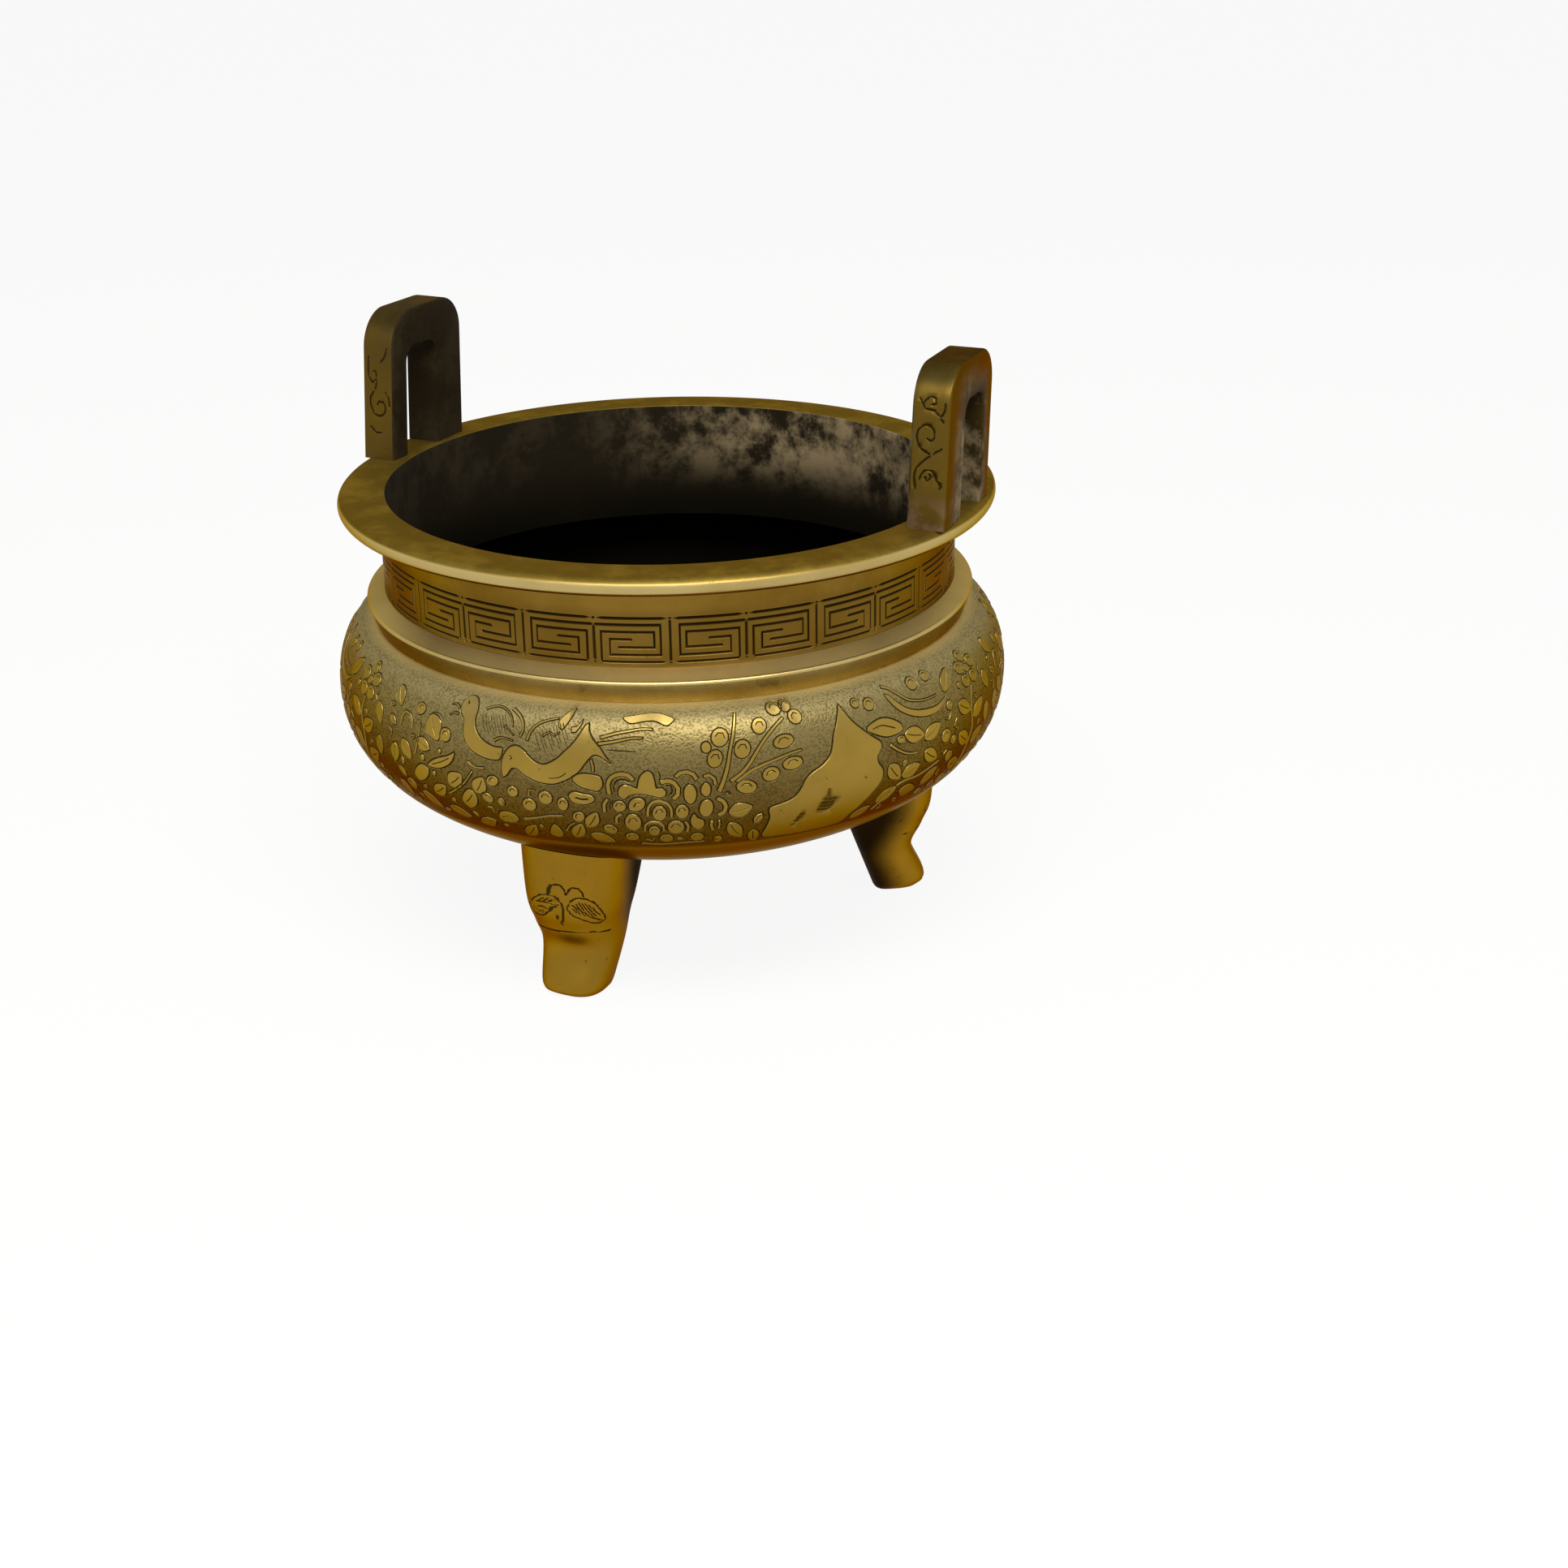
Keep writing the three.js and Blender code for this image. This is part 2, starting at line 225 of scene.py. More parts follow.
class Finish(Nodes):
    """A metal's material, whose patterns are placed by the piece's own coordinates."""

    def __init__(self, name):
        self.material = bpy.data.materials.new(name)
        self.material.use_nodes = True
        super().__init__(self.material.node_tree)
        self.shader = self.tree.nodes["Principled BSDF"]
        self.set(Specular_Tint=EDGE_TINT, Specular_IOR_Level=0.1)
        self.place = self.node("ShaderNodeTexCoord", {}, {}, "Object")
        self.facing = self.node("ShaderNodeTexCoord", {}, {}, "Normal")

    def set(self, **sockets):
        for key, value in sockets.items():
            self.feed(self.shader.inputs[key.replace("_", " ")], value)

    def noise(self, scale, detail=4.0, roughness=0.55):
        sockets = {"Vector": self.place, "Scale": scale, "Detail": detail, "Roughness": roughness}
        return self.node("ShaderNodeTexNoise", {}, sockets)

    def mark(self, name):
        return self.node("ShaderNodeAttribute", {"attribute_name": name}, {}, "Fac")

    def mix(self, factor, first, second):
        colours = [c if isinstance(c, Value) else (*c, 1) for c in (first, second)]
        sockets = {0: factor, 6: colours[0], 7: colours[1]}
        return self.node("ShaderNodeMix", {"data_type": "RGBA"}, sockets, 2)

    def part(self, vector, axis):
        return self.node("ShaderNodeSeparateXYZ", {}, {0: vector}, axis)

    def bump(self, height, depth, strength=1.0):
        sockets = {"Height": height, "Distance": depth, "Strength": strength}
        self.set(Normal=self.node("ShaderNodeBump", {}, sockets))


# %% [markdown]
# ## Light and floor
# Metal shows what is around it, so the room matters as much as the lamp. One wide lamp, high up in front,
# draws the bright lines along the rounded edges. The world is white where it is looked at or mirrored, and
# a plain grey where it only lights. The floor does the same with a glow, so it looks white and still keeps
# the shadow.

# %% Lamp
LAMP_SIZE = (0.95, 0.4)
LAMP_WATTS = 15
LAMP_PLACE = Vector((0.3, -0.53, 1.05))
LAMP_AIM = Vector((0, 0, 0.08))

bpy.context.scene.view_settings.view_transform = "Standard"
lamp_data = bpy.data.lights.new("lamp_overhead", "AREA")
lamp_data.shape = "RECTANGLE"
lamp_data.size, lamp_data.size_y = LAMP_SIZE
lamp_data.energy = LAMP_WATTS
lamp_data.color = (1, 0.96, 0.88)
lamp = bpy.data.objects.new("lamp_overhead", lamp_data)
lamp.location = LAMP_PLACE
lamp.rotation_euler = (LAMP_AIM - LAMP_PLACE).to_track_quat("-Z", "Y").to_euler()
bpy.context.scene.collection.objects.link(lamp)
print("lamp", round((LAMP_AIM - LAMP_PLACE).length, 2), "m from the burner")

# %% World
ROOM_LEVEL = 0.35

world = bpy.data.worlds.new("room")
bpy.context.scene.world = world
world.use_nodes = True
room = Nodes(world.node_tree)
room.tree.nodes.clear()
white = room.node("ShaderNodeBackground", {}, {"Color": (1, 1, 1, 1)})
grey = room.node("ShaderNodeBackground", {}, {"Color": (1, 0.98, 0.95, 1), "Strength": ROOM_LEVEL})
room.node("ShaderNodeOutputWorld", {}, {"Surface": room.either(room.seen_directly(), grey, white)})
print("world lights at", ROOM_LEVEL)

# %% Floor
FLOOR_HALF = 14
FLOOR_GLOW = 0.91

floor_bm = bmesh.new()
bmesh.ops.create_grid(floor_bm, x_segments=1, y_segments=1, size=FLOOR_HALF)
floor_mesh = bpy.data.meshes.new("floor")
floor_bm.to_mesh(floor_mesh)
floor_bm.free()
floor = bpy.data.objects.new("floor", floor_mesh)
bpy.context.scene.collection.objects.link(floor)
floor_paint = bpy.data.materials.new("floor_paint")
floor_paint.use_nodes = True
paint = Nodes(floor_paint.node_tree)
matt = paint.tree.nodes["Principled BSDF"]
matt.inputs["Base Color"].default_value = (0.85, 0.85, 0.85, 1)
matt.inputs["Roughness"].default_value = 0.9
glow = paint.node("ShaderNodeEmission", {}, {})
blend = paint.either(paint.seen_directly() * FLOOR_GLOW, Value(paint, matt.outputs[0]), glow)
paint.feed(paint.tree.nodes["Material Output"].inputs["Surface"], blend)
floor_mesh.materials.append(floor_paint)
print("floor", 2 * FLOOR_HALF, "m wide")

# %% [markdown]
# ## Brass
# Old brass is never one colour. Where hands rub it, it stays golden; where it doesn't get rubbed it turns
# olive, and dirt stays in what is punched or engraved. Each finish below starts from the same patina and
# adds what that piece shows. Light is painted into it too: faces turned down get painted shade, faces
# turned up a paler tone of dust and painted sheen, and the neck painted shade under the rim. Four marks, for
# the cut lines, the punched ground, soot and worn edges, are written on the mesh when a piece is made, so
# that the dirt lies in the cut lines, the soot on the inside, painted shade on the legs' backs, and wear
# with a painted highlight on the edges.

# %% Colours of the patina
GROOVE_DIRT = (0.022, 0.016, 0.004)
# The khaki and the brown after it are the ground lit and in painted shade, chosen by which way a face turns;
# the pale one is dust with a painted sheen on faces turned up.
GROUND_KHAKI = (0.215, 0.17, 0.068)
GROUND_PAINTED_SHADE = (0.085, 0.042, 0.005)
PALE_DUST_AND_SHEEN = (0.27, 0.225, 0.105)
# Painted shade on the neck under the rim.
NECK_PAINTED_SHADE = (0.15, 0.074, 0.006)
# Worn gold on rubbed edges, which also paints their highlights.
WORN_GOLD_AND_HIGHLIGHT = (0.52, 0.4, 0.16)
ASH = (0.26, 0.2, 0.115)
BLACK = (0.003, 0.003, 0.002)
SOLDER_PINK = (0.17, 0.1, 0.06)

# %% Where the patina and the painted shade change, as lower and upper heights in metres
RIM_TOP = (0.1405, 0.143)
NECK_FOOT_EDGE = (0.114, 0.1165)
NECK_TOP_EDGE = (0.14, 0.1412)
SHOULDER_TOP = (0.116, 0.12)
ASH_LINE = (0.112, 0.134)
BLACK_LINE = (0.104, 0.13)
SOLDER_LINE = (0.148, 0.157)
SPECK_SCALE = 420
PUNCH_SCALE = 1300
RELIEF_DEPTH = 0.00018
print("punch marks about", round(1 / PUNCH_SCALE / MM, 2), "mm apart")


# %% Aged brass
class Brass(Finish):
    """Aged brass, built up in layers: patina with painted shade on faces turned down, punched ground,
    engraved lines, soot and painted shade.
    """

    def __init__(self, name, gold, olive, underside_shade, dull):
        super().__init__(name)
        self.clouds = self.noise(26, 5.0, 0.6)
        self.specks = self.noise(SPECK_SCALE, 3.0, 0.6)
        self.up = self.part(self.facing, 2)
        self.height = self.part(self.place, 2)
        tarnish = (self.clouds + 0.3 * self.up).step(0.35, 0.8)
        # Painted shade: faces turned downwards are covered with the umber colour, so they look darker, as if
        # in shade.
        underside_shade_mask = (0.0 - self.up).step(-0.1, 0.75)
        spots = self.specks.step(0.66, 0.78)
        self.colour = self.mix(tarnish, gold, olive)
        self.cover(underside_shade_mask * 0.8, underside_shade)
        top = self.up.step(0.4, 0.8) * self.height.step(*RIM_TOP)
        blotches = self.noise(85, 5.0, 0.65).step(0.4, 0.7)
        self.cover(top * (1.0 - 0.45 * blotches), dull)
        self.cover(spots * 0.6, GROOVE_DIRT)
        self.rough = 0.3 + 0.14 * tarnish + 0.2 * spots + 0.2 * top
        self.metal = 1.0 - 0.2 * spots
        self.relief = self.specks * 0.6 + 0.4 * self.clouds

    def cover(self, share, colour):
        """Lays another colour over the ones so far, by a share."""
        self.colour = self.mix(share, self.colour, colour)

    def wear_and_highlight_the_edges(self):
        """Edges that hands and cloths reach stay bright with wear; the same mark paints the highlights along
        the lip, the ring's edge and the belly's top edge.
        """
        rubbed = self.mark("rubbed") * (0.6 + 0.4 * self.clouds.step(0.3, 0.6))
        self.cover(rubbed, WORN_GOLD_AND_HIGHLIGHT)
        self.rough -= 0.08 * rubbed

    def punch_the_ground(self):
        """The lower ground between the figures is set with small punch marks, which hold the dirt."""
        ground = self.mark("ground")
        punch = self.node("ShaderNodeTexVoronoi", {}, {"Vector": self.place, "Scale": PUNCH_SCALE})
        uneven = self.noise(180, 3.0, 0.6).step(0.3, 0.7)
        dots = (1.0 - punch.step(0.15, 0.7)) * ground.step(0.65, 0.95) * (0.5 + 0.5 * uneven)
        # Painted shade and sheen: the ground is khaki where it faces sideways, painted brown shade where it
        # faces down, and paler where it faces up, which is part dust and part painted sheen.
        painted_shade_and_sheen = self.mix((0.0 - self.up).step(-0.45, 0.35), GROUND_KHAKI, GROUND_PAINTED_SHADE)
        ground_dust_and_sheen = self.up.step(0.4, 0.85) * ground
        painted_shade_and_sheen = self.mix(ground_dust_and_sheen, painted_shade_and_sheen, PALE_DUST_AND_SHEEN)
        # Faces turned up below the shoulder are paler: part dust, part painted sheen.
        dust_and_sheen = self.up.step(0.2, 0.8) * (1.0 - self.height.step(*SHOULDER_TOP))
        self.cover(dust_and_sheen * 0.4, PALE_DUST_AND_SHEEN)
        self.cover(ground * 0.85, painted_shade_and_sheen)
        self.metal -= 0.4 * ground_dust_and_sheen
        self.rough += 0.12 * ground_dust_and_sheen
        self.cover(dots * 0.6, GROOVE_DIRT)
        self.rough += 0.08 * dots
        self.relief -= 0.9 * dots

    def shade_the_neck(self):
        """The neck lies under the rim and is painted brown there as painted shade, with cloudy variation."""
        neck = self.height.step(*NECK_FOOT_EDGE) * (1.0 - self.height.step(*NECK_TOP_EDGE))
        self.cover(neck * (0.55 + 0.3 * self.clouds.step(0.3, 0.7)), NECK_PAINTED_SHADE)

    def darken_the_lines(self):
        """Dirt stays in the cut lines."""
        groove = self.mark("groove").step(0.15, 0.6)
        self.cover(groove * 0.9, GROOVE_DIRT)
        self.rough += 0.25 * groove
        self.metal -= 0.3 * groove

    def lay_soot_and_shade(self, soot):
        """Soot, with paler ash where the smoke passed, and black in the depth of the bowl; on the legs the
        same mark is painted shade.
        """
        share = (self.mark("soot") + 0.5 * self.clouds - 0.25).step(0.1, 0.9)
        beside, behind = self.part(self.place, 0), self.part(self.place, 1)
        towards = (0.71 * beside + 0.71 * behind).step(-0.01, 0.07)
        patches = self.noise(52, 7.0, 0.7).step(0.42, 0.62)
        ashy = patches * self.height.step(*ASH_LINE) * (0.06 + 0.94 * towards)
        self.cover(share, self.mix(ashy, soot, ASH))
        self.rough += 0.45 * share
        self.metal -= 0.9 * share

    def blacken_the_depth(self):
        """Below the neck the inside is black all over."""
        deep = self.mark("soot") * (1.0 - self.height.step(*BLACK_LINE))
        self.cover(deep * (1.0 - 0.3 * self.clouds.step(0.4, 0.8)), BLACK)

    def solder(self):
        """Pinkish solder that ran out at the near foot of the right handle."""
        beside, behind = self.part(self.place, 0), self.part(self.place, 1)
        low = 1.0 - self.height.step(*SOLDER_LINE)
        spilt = low * beside.step(0.06, 0.07) * (0.0 - behind).step(0.0165, 0.0185)
        spilt = spilt * self.noise(160, 4.0, 0.6).step(0.4, 0.6)
        self.cover(spilt * 0.8, SOLDER_PINK)
        self.rough += 0.2 * spilt

    def done(self):
        """Feeds the layers to the shader."""
        self.set(Base_Color=self.colour, Roughness=self.rough, Metallic=self.metal)
        self.bump(self.relief, RELIEF_DEPTH, 0.4)
        return self.material


# %% The finishes of bowl, handles and legs, each from gold, olive, an umber for the painted shade on faces turned down, and dull brown
body = Brass(
    "body_patina",
    (0.35, 0.225, 0.04), (0.24, 0.16, 0.028), (0.13, 0.058, 0.005), (0.115, 0.078, 0.014),
)
body.punch_the_ground()
body.shade_the_neck()
body.wear_and_highlight_the_edges()
body.darken_the_lines()
body.lay_soot_and_shade((0.014, 0.011, 0.007))
body.blacken_the_depth()
BODY_BRASS = body.done()

grip = Brass(
    "handle_patina",
    (0.13, 0.077, 0.009), (0.095, 0.063, 0.014), (0.085, 0.037, 0.004), (0.042, 0.031, 0.008),
)
grip.darken_the_lines()
grip.solder()
grip.lay_soot_and_shade((0.016, 0.011, 0.005))
HANDLE_BRASS = grip.done()

foot = Brass(
    "leg_patina",
    (0.3, 0.155, 0.01), (0.23, 0.135, 0.015), (0.2, 0.09, 0.005), (0.2, 0.13, 0.02),
)
foot.darken_the_lines()
# On the legs the soot colour is dark brown, painted shade on their backs under the belly.
foot.lay_soot_and_shade((0.02, 0.009, 0.0015))
LEG_BRASS = foot.done()
print("finishes made:", BODY_BRASS.name, HANDLE_BRASS.name, LEG_BRASS.name)

# %% [markdown]
# ## Helpers for finished pieces
# Every piece ends the same way: doubled points are merged, faces are turned outwards, the mesh gets its
# material and rides on the part's one body. The marks are float layers of the vertices, one for each name.

# %% Helpers for finished pieces
MARKS = ("groove", "ground", "soot", "rubbed")


def fresh():
    """An empty mesh with the marks."""
    bm = bmesh.new()
    for mark in MARKS:
        bm.verts.layers.float.new(mark)
    return bm


def finished(name, bm, material, smooth_angle=40, merge=1e-5):
    """Merges doubles, drops a face that the merging left hanging, and makes the piece of the part."""
    bmesh.ops.remove_doubles(bm, verts=bm.verts, dist=merge)
    hanging = [face for face in bm.faces if any(edge.is_boundary for edge in face.edges)]
    bmesh.ops.delete(bm, geom=hanging, context="FACES")
    bmesh.ops.recalc_face_normals(bm, faces=bm.faces)
    mesh = bpy.data.meshes.new(name)
    open_edges = sum(1 for edge in bm.edges if not edge.is_manifold)
    bm.to_mesh(mesh)
    bm.free()
    made = bpy.data.objects.new(name, mesh)
    bpy.context.scene.collection.objects.link(made)
    mesh.materials.append(material)
    mesh.shade_smooth()
    mesh.set_sharp_from_angle(angle=math.radians(smooth_angle))
    mesh.calc_loop_triangles()
    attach(made, "root")
    print(name, len(mesh.loop_triangles), "triangles,", open_edges, "open edges")
    return made


def joined(bm, other):
    """Adds another bmesh, which is used up, to this one."""
    passing = bpy.data.meshes.new("passing")
    other.to_mesh(passing)
    other.free()
    bm.from_mesh(passing)
    bpy.data.meshes.remove(passing)


def between(p, q, r, s, t):
    """One number of a soft curve, a share of the way from q to r, with p before them and s after."""
    bend = 2 * p - 5 * q + 4 * r - s
    twist = 3 * q - 3 * r + s - p
    return 0.5 * (2 * q + (r - p) * t + bend * t * t + twist * t**3)


def smooth(points, closed=False, spacing=1.1):
    """A soft curve through a few points, as many points near the same distance apart."""
    count = len(points)
    spans = count if closed else count - 1
    made = []
    for i in range(spans):
        if closed:
            a, b, c, d = (points[(i + k) % count] for k in (-1, 0, 1, 2))
        else:
            a, b, c, d = (points[min(max(i + k, 0), count - 1)] for k in (-1, 0, 1, 2))
        steps = max(1, round(math.dist(b, c) / spacing))
        for step in range(steps):
            made.append(tuple(between(*numbers, step / steps) for numbers in zip(a, b, c, d)))
    if not closed:
        made.append(tuple(points[-1]))
    return made


def evenly(start, end, steps):
    return [start + (end - start) * i / steps for i in range(steps + 1)]


def arc(radius, height, size, start, end, steps):
    """Points on a rounding, from one angle to another in degrees."""
    angles = [math.radians(angle) for angle in evenly(start, end, steps)]
    return [(radius + size * math.cos(a), height + size * math.sin(a)) for a in angles]


print("marks on each mesh:", MARKS)


# %% [markdown]
# ## The bowl's profile
# A bowl like this is cast and then turned on a lathe, so its profile is a line that `spin` carries round.
# Two bands of it, the neck and the belly, are engraved, and those two are laid on it as drawn sheets, so
# the profile is kept in pieces: the neck and belly as lines that say where a point at a given length lies.


# %% Profile pieces
class Line:
    """A profile line that gives its place and its outward side at a length along it."""

    def __init__(self, points):
        self.points = points
        self.lengths = [0.0]
        for first, second in zip(points, points[1:]):
            self.lengths.append(self.lengths[-1] + math.dist(first, second))

    def place(self, length):
        i = min(max(bisect.bisect_right(self.lengths, length) - 1, 0), len(self.points) - 2)
        share = (length - self.lengths[i]) / (self.lengths[i + 1] - self.lengths[i])
        (r0, z0), (r1, z1) = self.points[i], self.points[i + 1]
        return r0 + (r1 - r0) * share, z0 + (z1 - z0) * share

    def beyond(self, length):
        return [self.place(length)] + [p for p, l in zip(self.points, self.lengths) if l > length + 0.2]

    def raised(self, length, by):
        radius, height = self.place(length)
        before, after = self.place(length - 0.3), self.place(length + 0.3)
        span = math.dist(before, after)
        return radius - by * (after[1] - before[1]) / span, height + by * (after[0] - before[0]) / span


def lower_belly(offset, steps):
    points = []
    for i in range(steps + 1):
        angle = i / steps * math.pi / 2
        power = 2 / BELLY_SQUARENESS
        radius = (BELLY_RADIUS + offset) * math.sin(angle) ** power
        drop = (BELLY_DEPTH + offset) * max(math.cos(angle), 0) ** power
        points.append((radius, BELLY_HEIGHT - drop))
    return points


def upper_belly(end_radius, end_height, offset, steps):
    points = []
    for i in range(1, steps + 1):
        angle = i / steps * math.pi / 2
        radius = end_radius + (BELLY_RADIUS + offset - end_radius) * math.cos(angle)
        points.append((radius, BELLY_HEIGHT + (end_height - BELLY_HEIGHT) * math.sin(angle)))
    return points


RING_FOOT = RIM_HEIGHT - RING_FOOT_DROP
RING_MIDDLE = RIM_HEIGHT - RING_EDGE_DROP - RING_ROUND
FLANGE_FOOT = RIM_HEIGHT - 2 * LIP_ROUND
NECK_TOP = RIM_HEIGHT - NECK_TOP_DROP
NECK_FOOT = RIM_HEIGHT - FRET_FOOT_DROP
BAND_DEPTH = 52

shoulder = upper_belly(NECK_RADIUS + RING_STEP, RING_FOOT, 0, 90)
belly = Line([*reversed(shoulder), *reversed(lower_belly(0, 130))])
neck = Line([(NECK_RADIUS, NECK_TOP), (NECK_RADIUS, NECK_FOOT)])
ring = [
    (NECK_RADIUS, NECK_FOOT),
    (NECK_RADIUS + 0.3, NECK_FOOT - 0.08),
    *reversed(arc(NECK_RADIUS + RING_OVERHANG - RING_ROUND, RING_MIDDLE, RING_ROUND, 0, 90, 5)),
    belly.place(0),
]
rim_and_inside = [
    (NECK_RADIUS, NECK_TOP),
    *arc(NECK_RADIUS + COVE_ROUND, FLANGE_FOOT - COVE_ROUND, COVE_ROUND, 180, 90, 6),
    *arc(LIP_RADIUS - LIP_ROUND, RIM_HEIGHT - LIP_ROUND, LIP_ROUND, -90, 90, 14),
    (LIP_RADIUS - LIP_ROUND - 0.9, RIM_HEIGHT),
    *arc(MOUTH_RADIUS + MOUTH_EDGE, RIM_HEIGHT - MOUTH_EDGE, MOUTH_EDGE, 90, 180, 3),
    *reversed(upper_belly(MOUTH_RADIUS, RING_FOOT, -WALL, 14)),
    *reversed(lower_belly(-WALL, 36)),
]
underside = belly.beyond(BAND_DEPTH)[::4] + [(0, BELLY_HEIGHT - BELLY_DEPTH)]
print("belly line", round(belly.lengths[-1], 1), "mm long, widest after", round(belly.lengths[89], 1))

# %% [markdown]
# ## Engraving
# The lines on old brass are cut with a graver, so they are narrow furrows with a sharp bottom, and between
# the plain birds and flowers the ground is punched all over and lies a little lower. A bump map would be
# flat from the side. Instead the drawing is made flat: lines, shapes and a net of cells. Blender's
# triangulation joins them into one sheet whose edges follow every line, and the sheet is then laid on the
# bowl, with the middle of each line pushed in.


# %% Drawings
def outward(points, i, closed):
    """The direction to one side of a line at a point, longer at a corner so that the line keeps its width."""
    count = len(points)
    before = points[(i - 1) % count] if closed or i > 0 else points[i]
    after = points[(i + 1) % count] if closed or i < count - 1 else points[i]
    here = Vector(points[i])
    first, second = here - Vector(before), Vector(after) - here
    first = first.normalized() if first.length > 0 else second.normalized()
    second = second.normalized() if second.length > 0 else first
    along = (first + second).normalized() if (first + second).length > 0.1 else second
    return Vector((-along.y, along.x)) / max(along.dot(second), 0.6)


class Drawing:
    """Lines and shapes drawn flat, in millimetres across and down, over a net of cells."""

    def __init__(self, columns, rows):
        self.left, self.right, self.top, self.bottom = columns[0], columns[-1], rows[0], rows[-1]
        self.points, self.edges, self.faces = [], [], []
        self.depths, self.tips = {}, set()
        self.furrows, self.shapes, self.bare = set(), set(), set()
        for x in columns:
            self.edge(self.point((x, rows[0])), self.point((x, rows[-1])))
        for y in rows:
            self.edge(self.point((columns[0], y)), self.point((columns[-1], y)))
        self.net = len(self.points)

    def point(self, place):
        self.points.append(Vector(place))
        return len(self.points) - 1

    def edge(self, first, second):
        self.edges.append((first, second))
        return len(self.edges) - 1

    def face(self, corners, kind):
        """Adds a face, turned anticlockwise, or split where it folds over itself."""
        places = [self.points[c] for c in corners]
        trios = zip(places[-1:] + places, places, places[1:] + places[:1])
        turns = [(here - before).cross(after - here) for before, here, after in trios]
        if len(corners) == 4 and min(turns) < 0 < max(turns):
            self.face(corners[:3], kind)
            self.face([corners[0], corners[2], corners[3]], kind)
            return
        area = sum(places[i - 1].cross(places[i]) for i in range(len(places)))
        if abs(area) > 1e-5:
            kind.add(len(self.faces))
            self.faces.append(corners if area > 0 else corners[::-1])

    def cut(self, points, width=0.6, depth=0.35, closed=False):
        """A furrow along a line of points, pointed at both ends unless it is closed."""
        points = [Vector(p) for p in points]
        if not closed:
            start = (points[1] - points[0]).normalized() * width * 0.6
            end = (points[-2] - points[-1]).normalized() * width * 0.6
            points = [points[0], points[0] + start, *points[1:-1], points[-1] + end, points[-1]]
        count = len(points)
        middle = [self.point(p) for p in points]
        sides = []
        for i, place in enumerate(points):
            aside = outward(points, i, closed) * width / 2
            ends = not closed and i in (0, count - 1)
            if ends:
                sides.append((middle[i], middle[i]))
                self.tips.add(middle[i])
            else:
                sides.append((self.point(place + aside), self.point(place - aside)))
        for i in range(count if closed else count - 1):
            j = (i + 1) % count
            self.depths[self.edge(middle[i], middle[j])] = depth
            corners = [sides[i][0], sides[i][1], sides[j][1], sides[j][0]]
            self.face(list(dict.fromkeys(corners)), self.furrows)

    def line(self, points, width=0.6, depth=0.35):
        """A furrow along a soft curve."""
        self.cut(smooth(points), width, depth)

    def shape(self, points, width=0.6, soft=True):
        """A plain raised shape with a furrow round it."""
        points = smooth(points, closed=True) if soft else points
        self.cut(points, width, closed=True)
        self.face([self.point(p) for p in points], self.shapes)

    def patch(self, points):
        """A punched place without an outline, inside a shape."""
        self.face([self.point(p) for p in smooth(points, closed=True)], self.bare)

    def lay(self, bm, place, sunk, ground=1.0):
        """Triangulates the drawing and lays it where place(across, down, raised by) says."""
        flat, edges, faces, from_points, from_edges, from_faces = delaunay_2d_cdt(
            self.points, self.edges, self.faces, 0, 1e-5
        )
        deep, touches = {}, [set() for _ in flat]
        for ends, origins in zip(edges, from_edges):
            for origin in origins:
                if origin in self.depths:
                    for end in ends:
                        deep[end] = max(deep.get(end, 0), self.depths[origin])
        for index, origins in enumerate(from_points):
            if self.tips.intersection(origins):
                deep.pop(index, None)
        kept = []
        for corners, origins in zip(faces, from_faces):
            middle = sum(flat[c].x for c in corners) / 3
            if not self.left < middle < self.right:
                continue
            kept.append(corners)
            kind = "ground"
            if not self.furrows.isdisjoint(origins):
                kind = "furrow"
            elif self.bare.isdisjoint(origins) and not self.shapes.isdisjoint(origins):
                kind = "shape"
            for corner in corners:
                touches[corner].add(kind)
        groove, punched, rubbed = (bm.verts.layers.float[mark] for mark in ("groove", "ground", "rubbed"))
        made = {}
        for corners in kept:
            for c in corners:
                if c in made:
                    continue
                edge_row = min(abs(flat[c].y - self.top), abs(flat[c].y - self.bottom)) < 1e-3
                height = 0 if "shape" in touches[c] else -sunk
                height = -deep[c] if c in deep else height
                vert = bm.verts.new(place(flat[c].x, flat[c].y, 0 if edge_row else height))
                vert[groove] = 1.0 if c in deep else 0.0
                vert[punched] = 0.0 if "shape" in touches[c] or edge_row else ground
                # The belly's top row under the ring is marked as worn, which also paints a bright highlight
                # line there.
                vert[rubbed] = 0.7 if ground == 1.0 and flat[c].y < 1 else 0.0
                made[c] = vert
            bm.faces.new([made[c] for c in reversed(corners)])
        return len(kept)


# %% [markdown]
# ## The fret band
# The neck carries a key fret, two square spirals hooked into each other, and every second unit is the
# mirror of the one before. Thirteen pairs go round, so one pair is drawn and spun thirteen times.

# %% The fret band
SIDES = 234
FRET_PAIRS = 13
FRET_COLUMNS = SIDES // FRET_PAIRS
FRET_PAIR = 2 * math.pi * NECK_RADIUS / FRET_PAIRS
FRET_UNIT = FRET_PAIR / 2
FRET_FROM = -97.3
FRET_TOP, FRET_BOTTOM = 15.3, 28.5
DRAWN_UNIT = 22.8
# The fret's ground mark stays under where punch marks start, so the fret gets only the ground's colours,
# which include painted shade by facing.
NECK_GROUND = 0.6


